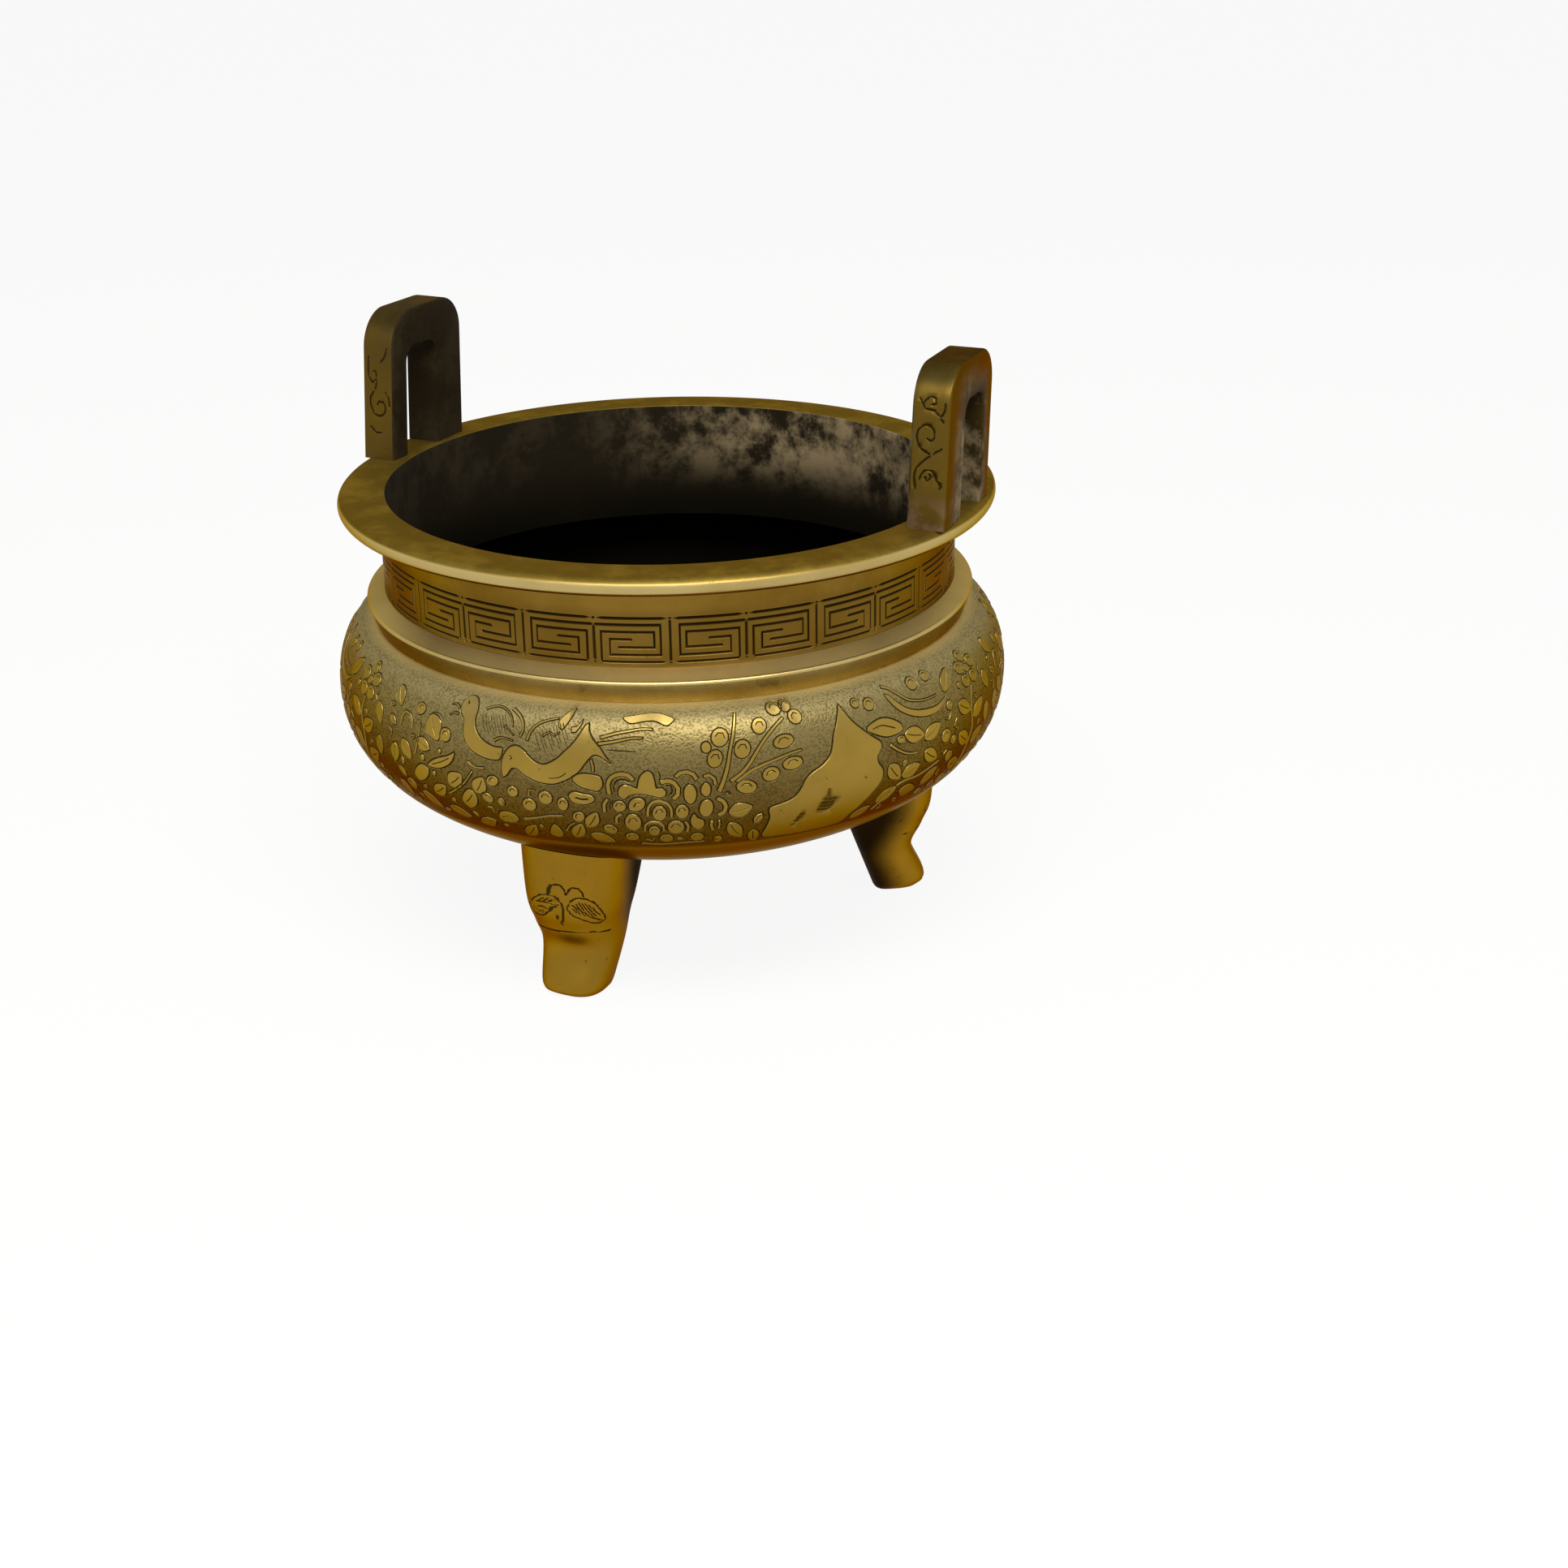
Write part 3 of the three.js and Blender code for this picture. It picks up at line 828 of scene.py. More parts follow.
def fret_unit(drawing, start, way):
    """One unit from its outer side, to the right for way 1 and to the left for way -1."""
    scale = FRET_UNIT / DRAWN_UNIT
    hooks = (
        [(DRAWN_UNIT, 17.3), (2.8, 17.3), (2.8, 26.4), (17.9, 26.4), (17.9, 21.7), (11, 21.7)],
        [(20.6, FRET_BOTTOM), (20.6, 19.5), (4.8, 19.5), (4.8, 24.1), (15.9, 24.1)],
        [(0, FRET_TOP), (0, FRET_BOTTOM)],
    )
    for hook in hooks:
        drawing.cut([(start + way * x * scale, y) for x, y in hook], 1.0, 0.4)
    for y in (FRET_TOP, FRET_BOTTOM):
        ends = sorted((start - way * 0.6, start + way * (FRET_UNIT + 0.6)))
        drawing.cut([(ends[0], y), (ends[1], y)], 0.9, 0.4)


FRET_ROWS = [NECK_TOP_DROP, 14.2, 18.4, 20.6, 22.9, 25.2, 27.4, 29.2, FRET_FOOT_DROP]
fret_column = FRET_PAIR / FRET_COLUMNS
unit_start = round(FRET_FROM / fret_column) * fret_column
fret_left = unit_start + 6 * fret_column
fret = Drawing(evenly(fret_left, fret_left + FRET_PAIR, FRET_COLUMNS), FRET_ROWS)
fret_unit(fret, unit_start, 1)
fret_unit(fret, unit_start + FRET_PAIR, -1)
fret_unit(fret, unit_start + FRET_PAIR, 1)
fret.cut([(unit_start + FRET_UNIT, 17.3), (unit_start + FRET_UNIT, FRET_BOTTOM)], 1.3, 0.4)


def round_the_axis(line, girth, start=0):
    """How a drawing is laid on a turned line: across along its girth, and down the line from its start."""

    def place(x, y, raised):
        radius, height = line.raised(y - start, raised)
        angle = x / girth
        return at(radius * math.cos(angle), radius * math.sin(angle), height)

    return place


fret_bm = fresh()
on_neck = round_the_axis(neck, NECK_RADIUS, NECK_TOP_DROP)
print("fret pair:", fret.lay(fret_bm, on_neck, sunk=0.0, ground=NECK_GROUND), "triangles")


def round_the_bowl(bm, copies):
    """Repeats a mesh round the bowl's axis."""
    everything = bm.verts[:] + bm.edges[:] + bm.faces[:]
    angle = 2 * math.pi * (copies - 1) / copies
    bmesh.ops.spin(
        bm, geom=everything, cent=(0, 0, 0), axis=(0, 0, 1), angle=angle, steps=copies - 1, use_duplicate=True
    )


round_the_bowl(fret_bm, FRET_PAIRS)

# %% [markdown]
# ## Birds and flowers
# The belly shows two birds, a peony, a fruiting twig and a rock, drawn with a graver in the traditional way.
# Across is the length along the widest part of the belly from the right handle's direction, and down is
# the length from the ring's foot. The drawing fills a third of the way round and is repeated twice.

# %% Petals, leaves, ribbons and hatching
PICTURE_COLUMNS = SIDES // 3
FIRST_COLUMN = -75
belly_column = 2 * math.pi * BELLY_RADIUS / SIDES
BELLY_LEFT = FIRST_COLUMN * belly_column
BELLY_RIGHT = (FIRST_COLUMN + PICTURE_COLUMNS) * belly_column
BELLY_ROWS = [0, 0.8, *[3.6 * i + 0.8 for i in range(1, 14)], 50.6, BAND_DEPTH]
draw = Drawing(evenly(BELLY_LEFT, BELLY_RIGHT, PICTURE_COLUMNS), BELLY_ROWS)


def turned_place(x, y, along, aside, turned_by):
    """A place given from the middle of a turned leaf or petal."""
    c, s = math.cos(math.radians(turned_by)), math.sin(math.radians(turned_by))
    return x + along * c - aside * s, y + along * s + aside * c


def petal(x, y, wide, high=None, turned_by=0.0, veined=True):
    """A round petal with a short curved line under its edge."""
    high = high or wide
    wide, high = 1.1 * wide, 1.1 * high
    angles = [2 * math.pi * i / 12 for i in range(12)]
    draw.shape([turned_place(x, y, wide * math.cos(a), high * math.sin(a), turned_by) for a in angles], 0.5)
    if veined:
        inner = [(-0.55, 0.1), (-0.3, -0.4), (0.2, -0.5), (0.55, -0.05)]
        draw.line([turned_place(x, y, a * wide, b * high, turned_by) for a, b in inner], 0.4, 0.2)


LEAF_EDGE = [
    (-1, 0), (-0.5, 0.8), (0.15, 0.95), (0.7, 0.5),
    (1.05, -0.05), (0.55, -0.65), (-0.1, -0.95), (-0.65, -0.7),
]
LEAF_VEIN = [(-0.75, 0), (0, 0.08), (0.7, 0)]


def leaf(x, y, long, wide, turned_by=0.0):
    """A pointed leaf with a vein, lying along its longer half size."""
    long, wide = 1.15 * long, 1.25 * wide
    draw.shape([turned_place(x, y, a * long, b * wide, turned_by) for a, b in LEAF_EDGE], 0.45)
    draw.line([turned_place(x, y, a * long, b * wide, turned_by) for a, b in LEAF_VEIN], 0.35, 0.2)


def each(one, *spots):
    """Draws one leaf or petal at each of the spots."""
    for spot in spots:
        one(*spot)


def ribbon(points, wide=1.2, end_wide=None, outline=0.4):
    """A plain band along a line, with a furrow on each side, for stems, feathers and petal borders."""
    points = [Vector(p) for p in smooth(points, spacing=1.4)]
    last = len(points) - 1
    halves = [(wide + ((end_wide or wide) - wide) * i / last) / 2 for i in range(last + 1)]
    aside = [outward(points, i, False) * halves[i] for i in range(last + 1)]
    left = [p + a for p, a in zip(points, aside)]
    right = [p - a for p, a in zip(points, aside)]
    draw.shape(left + right[::-1], outline, soft=False)


def hatch(start, end, step, count, width=0.35):
    """Parallel strokes, each a step further."""
    for i in range(count):
        first = Vector(start) + Vector(step) * i
        last = Vector(end) + Vector(step) * i
        draw.line([first, (first + last) / 2 + Vector((0, 0.2)), last], width, 0.2)


print("picture from", round(BELLY_LEFT, 1), "to", round(BELLY_RIGHT, 1), "mm along the belly")


# %% The birds
draw.shape([
    (-159.6, 18.2), (-158.3, 19.4), (-156.3, 20.8), (-154.5, 21.5), (-152.5, 21.3), (-149.5, 19.5),
    (-147.5, 17.5), (-145.5, 15.5), (-144, 13.6), (-142.8, 11.6), (-141.3, 9), (-140.3, 8.3),
    (-140, 10.6), (-138.5, 13.3), (-136.4, 15.4), (-135.2, 17.3), (-133.2, 20), (-136.4, 18.1),
    (-138.4, 17.8), (-140.6, 20.2), (-142.5, 22.8), (-145, 24.8), (-147.5, 26.2), (-150.5, 27.3),
    (-155, 27.2), (-159, 25.8), (-161.5, 24.2), (-163.4, 24.2), (-164.6, 26), (-166.3, 27.4),
    (-166.9, 24.6), (-166.6, 21.6), (-165.5, 19.2), (-164, 17.6), (-161.8, 17.1),
])
draw.line([(-164.2, 20.3), (-163.5, 20.9), (-164, 21.6)], 0.55, 0.3)
ribbon([(-139.1, 18.9), (-138.5, 21), (-138.5, 22.6)], 0.9)
draw.line([(-152, 25.6), (-148.6, 25), (-146.4, 23.4)], 0.35, 0.2)
ribbon([(-159, 15.4), (-158.2, 12.6), (-156.2, 10.2), (-153.2, 8.7), (-150, 7.8)], 0.9, 0.6)
draw.shape([
    (-149.5, 8), (-147.4, 5.6), (-145.2, 3.6), (-145.8, 6.6), (-147.2, 9.6), (-148.4, 11.2), (-149.6, 10.4),
], 0.4)
draw.shape([(-145.6, 10), (-144, 9.8), (-142.2, 7.2), (-142.8, 9.6), (-144.2, 11.6), (-145.4, 11.6)], 0.4)
hatch((-156.8, 12.6), (-154.4, 17.8), (2.1, -0.9), 5)
hatch((-155.6, 12), (-152.6, 18.6), (2.1, -0.9), 4, 0.3)
ribbon([(-154.4, 13.6), (-152.2, 12.2), (-150.6, 12.9), (-149, 11.9)], 0.7, 0.5, 0.3)
ribbon([(-137.2, 14.4), (-132.5, 13.6), (-127.5, 12.5), (-124, 12.4)], 1.1, 0.6)
ribbon([(-136.6, 12.6), (-132, 11.2), (-128, 10.4), (-124.5, 9.8), (-121.2, 9.9)], 1.0, 0.7)
draw.line([(-134.6, 16), (-129.5, 16.2), (-126, 16.4)], 0.5)
draw.shape([
    (-130.3, 6.3), (-127, 5.6), (-123.5, 4.9), (-119.5, 4.8), (-116.5, 5.8), (-114.6, 7), (-116.8, 8.9),
    (-118.6, 8.3), (-120.8, 7.4), (-124, 7.6), (-128, 8.2),
], 0.4)
draw.shape([
    (-184.2, 8.8), (-183.4, 11), (-181.6, 12.8), (-181.2, 15.4), (-180.6, 17.6), (-179.2, 19.8),
    (-176.8, 21.4), (-173.6, 22.4), (-170, 22.7), (-167.3, 22), (-166.7, 18.6), (-168.9, 18.6),
    (-171.9, 18), (-174.7, 16.6), (-176.5, 14.6), (-177.5, 12), (-177.6, 8.8), (-178.8, 6),
    (-180.6, 4.8), (-182.6, 5.2), (-183.8, 6.8),
])
draw.line([(-182.3, 7), (-181.5, 7.6), (-182.1, 8.3)], 0.55, 0.3)
ribbon([(-184.4, 9.8), (-186, 8.8), (-187.8, 9.2)], 0.9, 0.4)
ribbon([(-184, 11.6), (-186, 11.4), (-187.4, 12.6)], 0.8, 0.4)
ribbon([(-165.7, 6.6), (-163, 8.2), (-161.2, 10.3), (-160.7, 12.6), (-161.5, 14.7)], 1.1, 0.7)
ribbon([(-174.8, 8.2), (-171, 6.6), (-167.6, 7.4), (-165.2, 9.4), (-164.2, 12)], 0.8, 0.5)
ribbon([(-169.9, 17), (-167.6, 15.7), (-165.2, 15.8), (-163.4, 16)], 0.9, 0.5)
ribbon([(-167, 12), (-165.2, 13.3), (-163.4, 14.5)], 0.7, 0.4)
hatch((-175.4, 10.4), (-173.2, 14.8), (1.9, -0.4), 5)
hatch((-174.4, 10), (-171.8, 15.4), (1.9, -0.3), 4, 0.3)

# %% Plants on the left
ribbon([(-207.5, 20.5), (-207, 17.5), (-205.6, 15.9), (-203.6, 16.2), (-202.2, 18), (-202, 20.5)], 1)
leaf(-192.5, 17.4, 3.6, 2.8, 62)
draw.line([(-195.6, 14.6), (-193.4, 13.1), (-191, 13.2), (-189.4, 15)], 0.5)
draw.shape([
    (-195, 29.8), (-192.6, 27.4), (-189.6, 25.9), (-186.4, 24.6), (-183.6, 23), (-184.4, 25.8),
    (-186.6, 28), (-190.6, 29.8),
])
draw.line([(-193, 29), (-189, 27.2), (-185.6, 25.2)], 0.35, 0.2)
draw.shape([
    (-202, 34.6), (-200.4, 31.8), (-197.6, 30), (-194.6, 31), (-195.4, 33.6), (-197.8, 35.8),
    (-200.4, 36.4),
])
leaf(-184, 31.8, 3, 2.4, -40)
leaf(-175, 31.6, 2.8, 2.2, -60)
draw.shape([
    (-183, 38.6), (-181.6, 35.6), (-179.2, 33.6), (-177.2, 34.4), (-176.6, 36.8), (-177.8, 39.6),
    (-180.6, 41.2),
])
draw.line([(-181.6, 39), (-179.6, 37.2), (-178.2, 35.4)], 0.35, 0.2)
ribbon([(-187.6, 37.4), (-183.6, 34.6), (-180.2, 31.6), (-177.2, 27.6)], 0.9, 0.7)
each(
    petal,
    (-158.6, 35, 2.1), (-153.2, 31.9, 2.1), (-163.6, 31.4, 1.7), (-170.2, 29.2, 2, 1.6, -20),
    (-172.6, 35.2, 1.9, 1.5, 30), (-148, 33.4, 1.6, 2.1), (-143.6, 37.4, 1.9, 1.7, -40),
)
draw.shape([
    (-170.6, 42.6), (-169.8, 40), (-167, 39), (-164.2, 39.8), (-163.4, 42), (-165.6, 43.6), (-168.6, 43.9),
])
draw.line([(-169.6, 42.2), (-167, 41), (-164.6, 41.6)], 0.35, 0.2)
draw.shape([(-154.4, 46.4), (-153.4, 43), (-151.8, 41.3), (-150.3, 43), (-149.9, 46.4), (-152, 47.8)])
each(
    leaf,
    (-160.6, 46.4, 3.4, 1.9, -55), (-144.6, 43.4, 3.2, 1.9, -65), (-176, 46.2, 3.4, 1.9, -25),
    (-186.6, 44.8, 3.6, 2, 15), (-198, 43.4, 3.6, 2, 40), (-191.4, 37.2, 3, 1.9, -35),
    (-204.6, 27.2, 3, 2, 55), (-196.4, 23.6, 2.6, 1.8, 20),
)
each(petal, (-187.6, 18.6, 2), (-205.4, 39.4, 2), (-199.4, 13.4, 1.8))
ribbon([(-161.6, 41), (-157, 39.6), (-152.8, 38.2), (-148.4, 37.6)], 1, 0.6)
ribbon([(-148.4, 43.8), (-147, 41.4), (-145, 39.8)], 0.9, 0.6)
ribbon([(-200.4, 27.6), (-198.8, 22.6), (-198.2, 17.6)], 0.9, 0.6)
ribbon([(-172.6, 25.6), (-176, 26), (-178.6, 24.6)], 0.9, 0.5)

# %% The fan and the peony
draw.shape([
    (-144.8, 24.9), (-142.5, 23.3), (-139, 23.2), (-136.2, 23.9), (-135.6, 26.4), (-137, 28.4), (-140, 28),
    (-142.8, 27.2),
])
draw.shape([
    (-146.2, 30.4), (-144.6, 28.9), (-141.6, 29.3), (-138.8, 29.8), (-138.2, 31.4), (-140.6, 32.9),
    (-143.8, 32.9), (-145.6, 31.9),
])
draw.line([(-144.2, 30.7), (-142.2, 31.3), (-139.9, 31)], 0.9, 0.3)
draw.shape([
    (-131.4, 29.4), (-131.2, 27.2), (-129.8, 26), (-127.6, 26.2), (-126, 27), (-125.5, 24.6), (-124.5, 22.7),
    (-122.8, 21.7), (-121.3, 22.6), (-120.7, 24.8), (-120.3, 27), (-118.6, 26.8), (-117.5, 28), (-118, 29.6),
    (-119.4, 30.1), (-121.6, 29.5), (-125, 28.8), (-128.2, 29.4), (-129.6, 30.7),
], 0.5)
ribbon([(-133.8, 29.2), (-134.2, 26), (-133.1, 23.9), (-130.9, 22.9), (-128.4, 23.1), (-126.8, 24.7)], 1.4)
draw.line([(-132.3, 28.8), (-132.6, 26.5), (-131.5, 24.9), (-129.4, 24.5), (-127.6, 25.4)], 0.8, 0.4)
ribbon([
    (-119.3, 25.3), (-117.3, 24.8), (-115.3, 25.5), (-114.2, 27.2), (-114.4, 29.2), (-115.8, 30.6),
], 1.4)
draw.line([(-118, 26.2), (-116.4, 26.4), (-115.9, 28.1), (-116.8, 29.5)], 0.8, 0.4)
draw.line([(-119.8, 21.7), (-119.2, 23.4), (-119.4, 24.8)], 0.5)
ribbon([(-135.6, 35.2), (-135.6, 32.4), (-134.4, 30.6)], 1.2)
draw.line([(-134, 34.4), (-133.9, 32.2), (-132.8, 30.9)], 0.6)
petal(-131.2, 32.9, 1.9, 1.8)
draw.shape([
    (-128.5, 34.2), (-128.5, 31.8), (-127.1, 30.2), (-124.9, 30), (-123.6, 31.2), (-124, 33.2),
    (-126, 34.6),
])
draw.line([(-127.2, 33.2), (-126.4, 31.8), (-124.9, 31.6)], 0.45, 0.25)
ribbon([
    (-123.2, 36.2), (-122.9, 33.2), (-121.5, 31.4), (-119.4, 31.1), (-117.5, 31.9), (-116.4, 33.8),
    (-116.4, 36.8),
], 1.1)
petal(-119.8, 35.2, 2, 2.5)
petal(-113.3, 34.8, 1.9, 2.3)
ribbon([(-132.4, 39), (-132.3, 36.8), (-130.6, 35.4)], 1.1)
petal(-127.6, 38.6, 2.3, 3.1)
ribbon([(-124.4, 42), (-124, 39.4), (-122.2, 38.3), (-120.2, 38.5), (-118.9, 40), (-118.7, 42)], 1)
petal(-121.6, 42, 1.7, 1.9)
petal(-115.2, 40.6, 2.4, 2.6)
ribbon([(-112.4, 38.4), (-111.6, 40.4), (-112, 42.8)], 1.1)
draw.shape([
    (-112.5, 30.9), (-112.7, 27.8), (-111.5, 26), (-109.8, 26.5), (-108.9, 28.5), (-109.2, 31),
    (-110.8, 32.6),
])
draw.shape([(-107.9, 28.9), (-107.5, 26.6), (-106, 25.7), (-104.9, 27), (-105, 29.3), (-106.3, 30.4)])
draw.shape([
    (-108.3, 33.4), (-107.5, 31.6), (-105.7, 31), (-104.4, 32.3), (-104.2, 34.7), (-105.3, 36.8),
    (-107.2, 37), (-108.4, 35.4),
])
draw.shape([
    (-110.8, 36.9), (-109.8, 35.5), (-108.8, 37.2), (-107, 38.3), (-106.8, 40.4), (-108.5, 42.1),
    (-110.4, 40.8), (-111.1, 38.8),
])
ribbon([(-114.9, 23.8), (-113.6, 22.6), (-111.6, 22.3), (-109.8, 23.1), (-108.8, 24.8)], 1.3)
ribbon([(-107, 24), (-105.3, 23.6), (-103.9, 24.8), (-103.5, 26.8)], 1.1)
ribbon([(-103.3, 30.9), (-101.6, 31.9), (-100.7, 33.9), (-101.4, 36), (-103, 36.9)], 1.4)
ribbon([(-104.7, 38.6), (-104.9, 40.5), (-104.2, 42.6)], 1.2)
ribbon([(-102.6, 38.6), (-102.4, 40.4), (-102.7, 42)], 0.9)
each(
    petal,
    (-128.4, 44.8, 2, 1.7), (-134.6, 41.6, 2.1, 1.7, 30), (-118.2, 45.6, 2, 1.7), (-109, 45.4, 2, 1.7),
)
each(
    leaf,
    (-96.4, 35.6, 3.2, 2.2, -12), (-97.6, 43.6, 3.6, 2, 60), (-137.6, 46, 3.4, 1.9, 25),
    (-139.6, 38.4, 3, 1.8, -60), (-91.6, 47.4, 3, 1.6, 80),
)
ribbon([(-126, 48.4), (-120, 49), (-113.6, 48.4), (-106.6, 48)], 0.9, 0.6)

# %% The twig with its round leaves
ribbon([(-102.6, 29), (-101, 25), (-99.8, 21), (-98.8, 16.5), (-97.5, 12), (-96.2, 6)], 1.5, 0.8)
ribbon([
    (-99.2, 26), (-96, 23.9), (-93.6, 21.4), (-91.3, 18.3), (-88.6, 15), (-85.4, 12), (-81.8, 9.3),
], 1.3, 0.9)
ribbon([(-97.6, 26.4), (-93.5, 23.6), (-89, 22), (-85, 20.9), (-81, 19.9), (-77.6, 19.4)], 1.2, 0.8)
each(
    petal,
    (-101.6, 13, 2.4, 2.6, 20), (-103.4, 19, 2.1, 2.5, 20), (-95.3, 16.9, 2.3, 2.6, 15),
    (-89.5, 10.8, 2.1, 2.3, 20), (-83.9, 5.9, 2.3, 2.3), (-80.2, 5.5, 1.8, 2.2), (-78, 9.6, 2, 2.2, -30),
    (-82.8, 16.2, 3, 1.9, -8), (-80.6, 22.9, 2.9, 1.8, -6), (-87.3, 25.2, 2.5, 2, -10),
    (-94.6, 28.2, 2.9, 2, 12),
)
draw.line([(-101.6, 30.4), (-100.2, 29.2), (-98.8, 30.4)], 1.2, 0.4)
petal(-105.8, 15.6, 1.4, 1.6, veined=False)

# %% The rock and what grows beside it
draw.shape([
    (-88.6, 48.8), (-88.1, 44), (-87.4, 40), (-87.8, 36.2), (-83.5, 34.9), (-80.5, 33.7), (-78.5, 31.5),
    (-77, 28.7), (-75, 26.8), (-71.5, 25), (-69, 22.8), (-68, 20.5), (-67, 17), (-65.3, 13.5),
    (-63.7, 10), (-63, 8.3), (-61.9, 10.5), (-60, 14), (-57, 17.3), (-54, 20), (-51, 22.5),
    (-50.8, 24.5), (-52.3, 26.5), (-52, 28.8), (-50.2, 31.5), (-50.3, 35), (-53, 38.5), (-56, 42),
    (-59.6, 46), (-62.4, 49.6), (-72, 50), (-82, 49.8),
], 0.7)
draw.patch([
    (-69.5, 32.7), (-68, 33), (-67.5, 35), (-65.5, 36.3), (-64.8, 35.3), (-63.5, 35.5), (-66, 39.5),
    (-69.5, 41.5), (-73, 41.5), (-72, 37), (-70.5, 34.5),
])
draw.patch([(-76.5, 38), (-75.8, 40), (-76, 42.5), (-78.5, 44.5), (-81.5, 47), (-80, 44), (-78, 40)])
hatch((-70.8, 36.4), (-66.2, 36.9), (-0.5, 1.2), 4, 0.6)
hatch((-78.2, 40.2), (-76.2, 40.6), (-0.8, 1.3), 4, 0.6)
ribbon([(-45.8, 6.8), (-43.5, 7.9), (-40.5, 10.8), (-37, 13.6), (-30.5, 15.2), (-25, 15.2)], 1.1, 0.6)
draw.shape([
    (-46, 9.4), (-44.3, 10), (-42.5, 12.3), (-39.5, 15), (-35.5, 16.9), (-31, 17.9), (-26, 18.2), (-21, 17),
    (-25.5, 20), (-31, 20.2), (-36.5, 18.8), (-41, 16.4), (-44, 13.4),
], 0.45)
draw.shape([
    (-55.6, 18.2), (-54, 16.6), (-50, 15.7), (-46.4, 16.6), (-42.6, 19.2), (-42.4, 21.4), (-46, 22),
    (-50, 21.4),
])
draw.line([(-53.6, 18.3), (-50, 17.9), (-45, 20)], 0.4, 0.25)
ribbon([(-47.6, 24.4), (-45.5, 26.2), (-42.5, 28.2), (-39.5, 29.5), (-36.4, 30)], 1.1, 0.7)
petal(-43.3, 23.9, 1.5, 1.2)
each(
    leaf,
    (-37.6, 24, 3.8, 2.2, 18), (-29.6, 25.4, 3.6, 2.1, -20), (-45.6, 33.8, 3.4, 2.1, 50),
    (-38.6, 35.4, 3.4, 2.1, -15), (-30, 33, 3.4, 2, 35), (-47, 41.8, 3.6, 2.1, -30),
    (-37.4, 43.4, 3.6, 2.1, 15), (-28, 41.4, 3.4, 2, -40), (-55.4, 46.8, 3.2, 1.8, -35),
)
ribbon([(-50.6, 47.4), (-43, 39.2), (-34, 38.6), (-25, 36.6)], 1, 0.7)
each(petal, (-22.8, 29, 2.1), (-33.6, 9, 2.1), (-26.8, 8.4, 1.8), (-52.6, 10.8, 1.9), (-57.2, 9.4, 1.5))

# %% A flowering sprig that fills the space to the next picture
ribbon([(-8.6, 48.6), (-9, 40), (-6.6, 32), (-7.6, 24), (-5.6, 18.2)], 1.3, 0.8)
for x, y in ((-5.4, 8.6), (-1.4, 11.6), (-2.8, 16.2), (-8, 16.2), (-9.4, 11.6)):
    petal(x, y, 2.3, 1.9, 30)
petal(-5.4, 12.9, 1.3, veined=False)
each(
    leaf,
    (-11.8, 23.4, 3.6, 2.1, 30), (-2.6, 26.6, 3.6, 2.1, -30), (-11.8, 33.6, 3.6, 2.1, 35),
    (-1.8, 36.2, 3.6, 2.1, -25), (-14.2, 42, 3.6, 2.1, 20), (-3.4, 44.8, 3.6, 2.1, -20),
    (-18.6, 12.6, 3.6, 2.1, -50), (5, 20, 3, 1.8, 70), (4.6, 30.6, 3, 1.8, 95),
)
petal(-18, 46.8, 2.1)
petal(-19.6, 37, 1.8)
each(leaf, (-210.4, 12, 3, 1.9, 60), (-210.8, 30, 3, 1.9, 100), (-210.8, 43, 3, 1.9, 60))


# %% [markdown]
# ## Small growth
# Whoever engraved the belly left no empty ground among the plants, so little leaves and curls go wherever
# a place has no line near it. Each takes the size of the gap that it finds.

# %% Small growth in the gaps
drawn = draw.points[draw.net:]
tree = KDTree(len(drawn))
for index, point in enumerate(drawn):
    tree.insert(point.to_3d(), index)
tree.balance()
LEAST_GAP = 1.5
LEAST_APART = 3.4
LARGEST_GROWTH = 2.2
CURL = [(-1, 0.4), (0, -0.5), (1, 0.4)]


def kept_plain(x, y):
    """The rock, the ground round the birds and the edge under the picture have no small growth."""
    return -90.5 < x < -49 or (-184 < x < -91 and y < 27.4) or y > 48.6


grown = []
for row in range(9):
    for column in range(PICTURE_COLUMNS):
        x = BELLY_LEFT + 3.1 + 2.9 * column + 1.3 * (row % 2)
        y = 15.4 + 3.9 * row + 0.8 * math.sin(2.3 * column + row)
        _, _, gap = tree.find((x, y, 0))
        crowded = gap < LEAST_GAP or any(math.dist((x, y), other) < LEAST_APART for other in grown)
        if crowded or x > BELLY_RIGHT - 3 or kept_plain(x, y):
            continue
        grown.append((x, y))
        size = min(gap - 0.45, LARGEST_GROWTH) / 1.15
        slant = 67 * column + 31 * row
        if len(grown) % 3 == 0:
            ribbon([turned_place(x, y, a * size, b * size, slant) for a, b in CURL], 0.8, 0.4, 0.35)
        elif len(grown) % 3 == 1:
            leaf(x, y, size, size * 0.62, slant)
        else:
            petal(x, y, size * 0.8, size * 0.7, slant, veined=size > 1.4)
print("small growth:", len(grown))

# %% The picture laid on the belly
FIGURE_HEIGHT = 0.18
belly_bm = fresh()
on_belly = round_the_axis(belly, BELLY_RADIUS)
print("picture:", draw.lay(belly_bm, on_belly, sunk=FIGURE_HEIGHT), "triangles")
round_the_bowl(belly_bm, 3)

# %% [markdown]
# ## The bowl
# The turned pieces of the profile are spun with the same number of steps as the nets have columns, so
# every seam closes when doubled points are merged. A profile is marked before it is spun: the inside as
# sooty, and the edges of the rim and the ring as worn, which also paints their highlights.


# %% The bowl
def turned(bm, points, steps, **marks):
    """Spins a profile, with each mark given as the points that have it and how much."""
    verts = [bm.verts.new(at(radius, 0, height)) for radius, height in points]
    for mark, (indices, amount) in marks.items():
        layer = bm.verts.layers.float[mark]
        for index in indices:
            verts[index][layer] = amount
    line = verts + [bm.edges.new(pair) for pair in zip(verts, verts[1:])]
    bmesh.ops.spin(
        bm, geom=line, cent=(0, 0, 0), axis=(0, 0, 1), angle=2 * math.pi, steps=steps, use_merge=True
    )


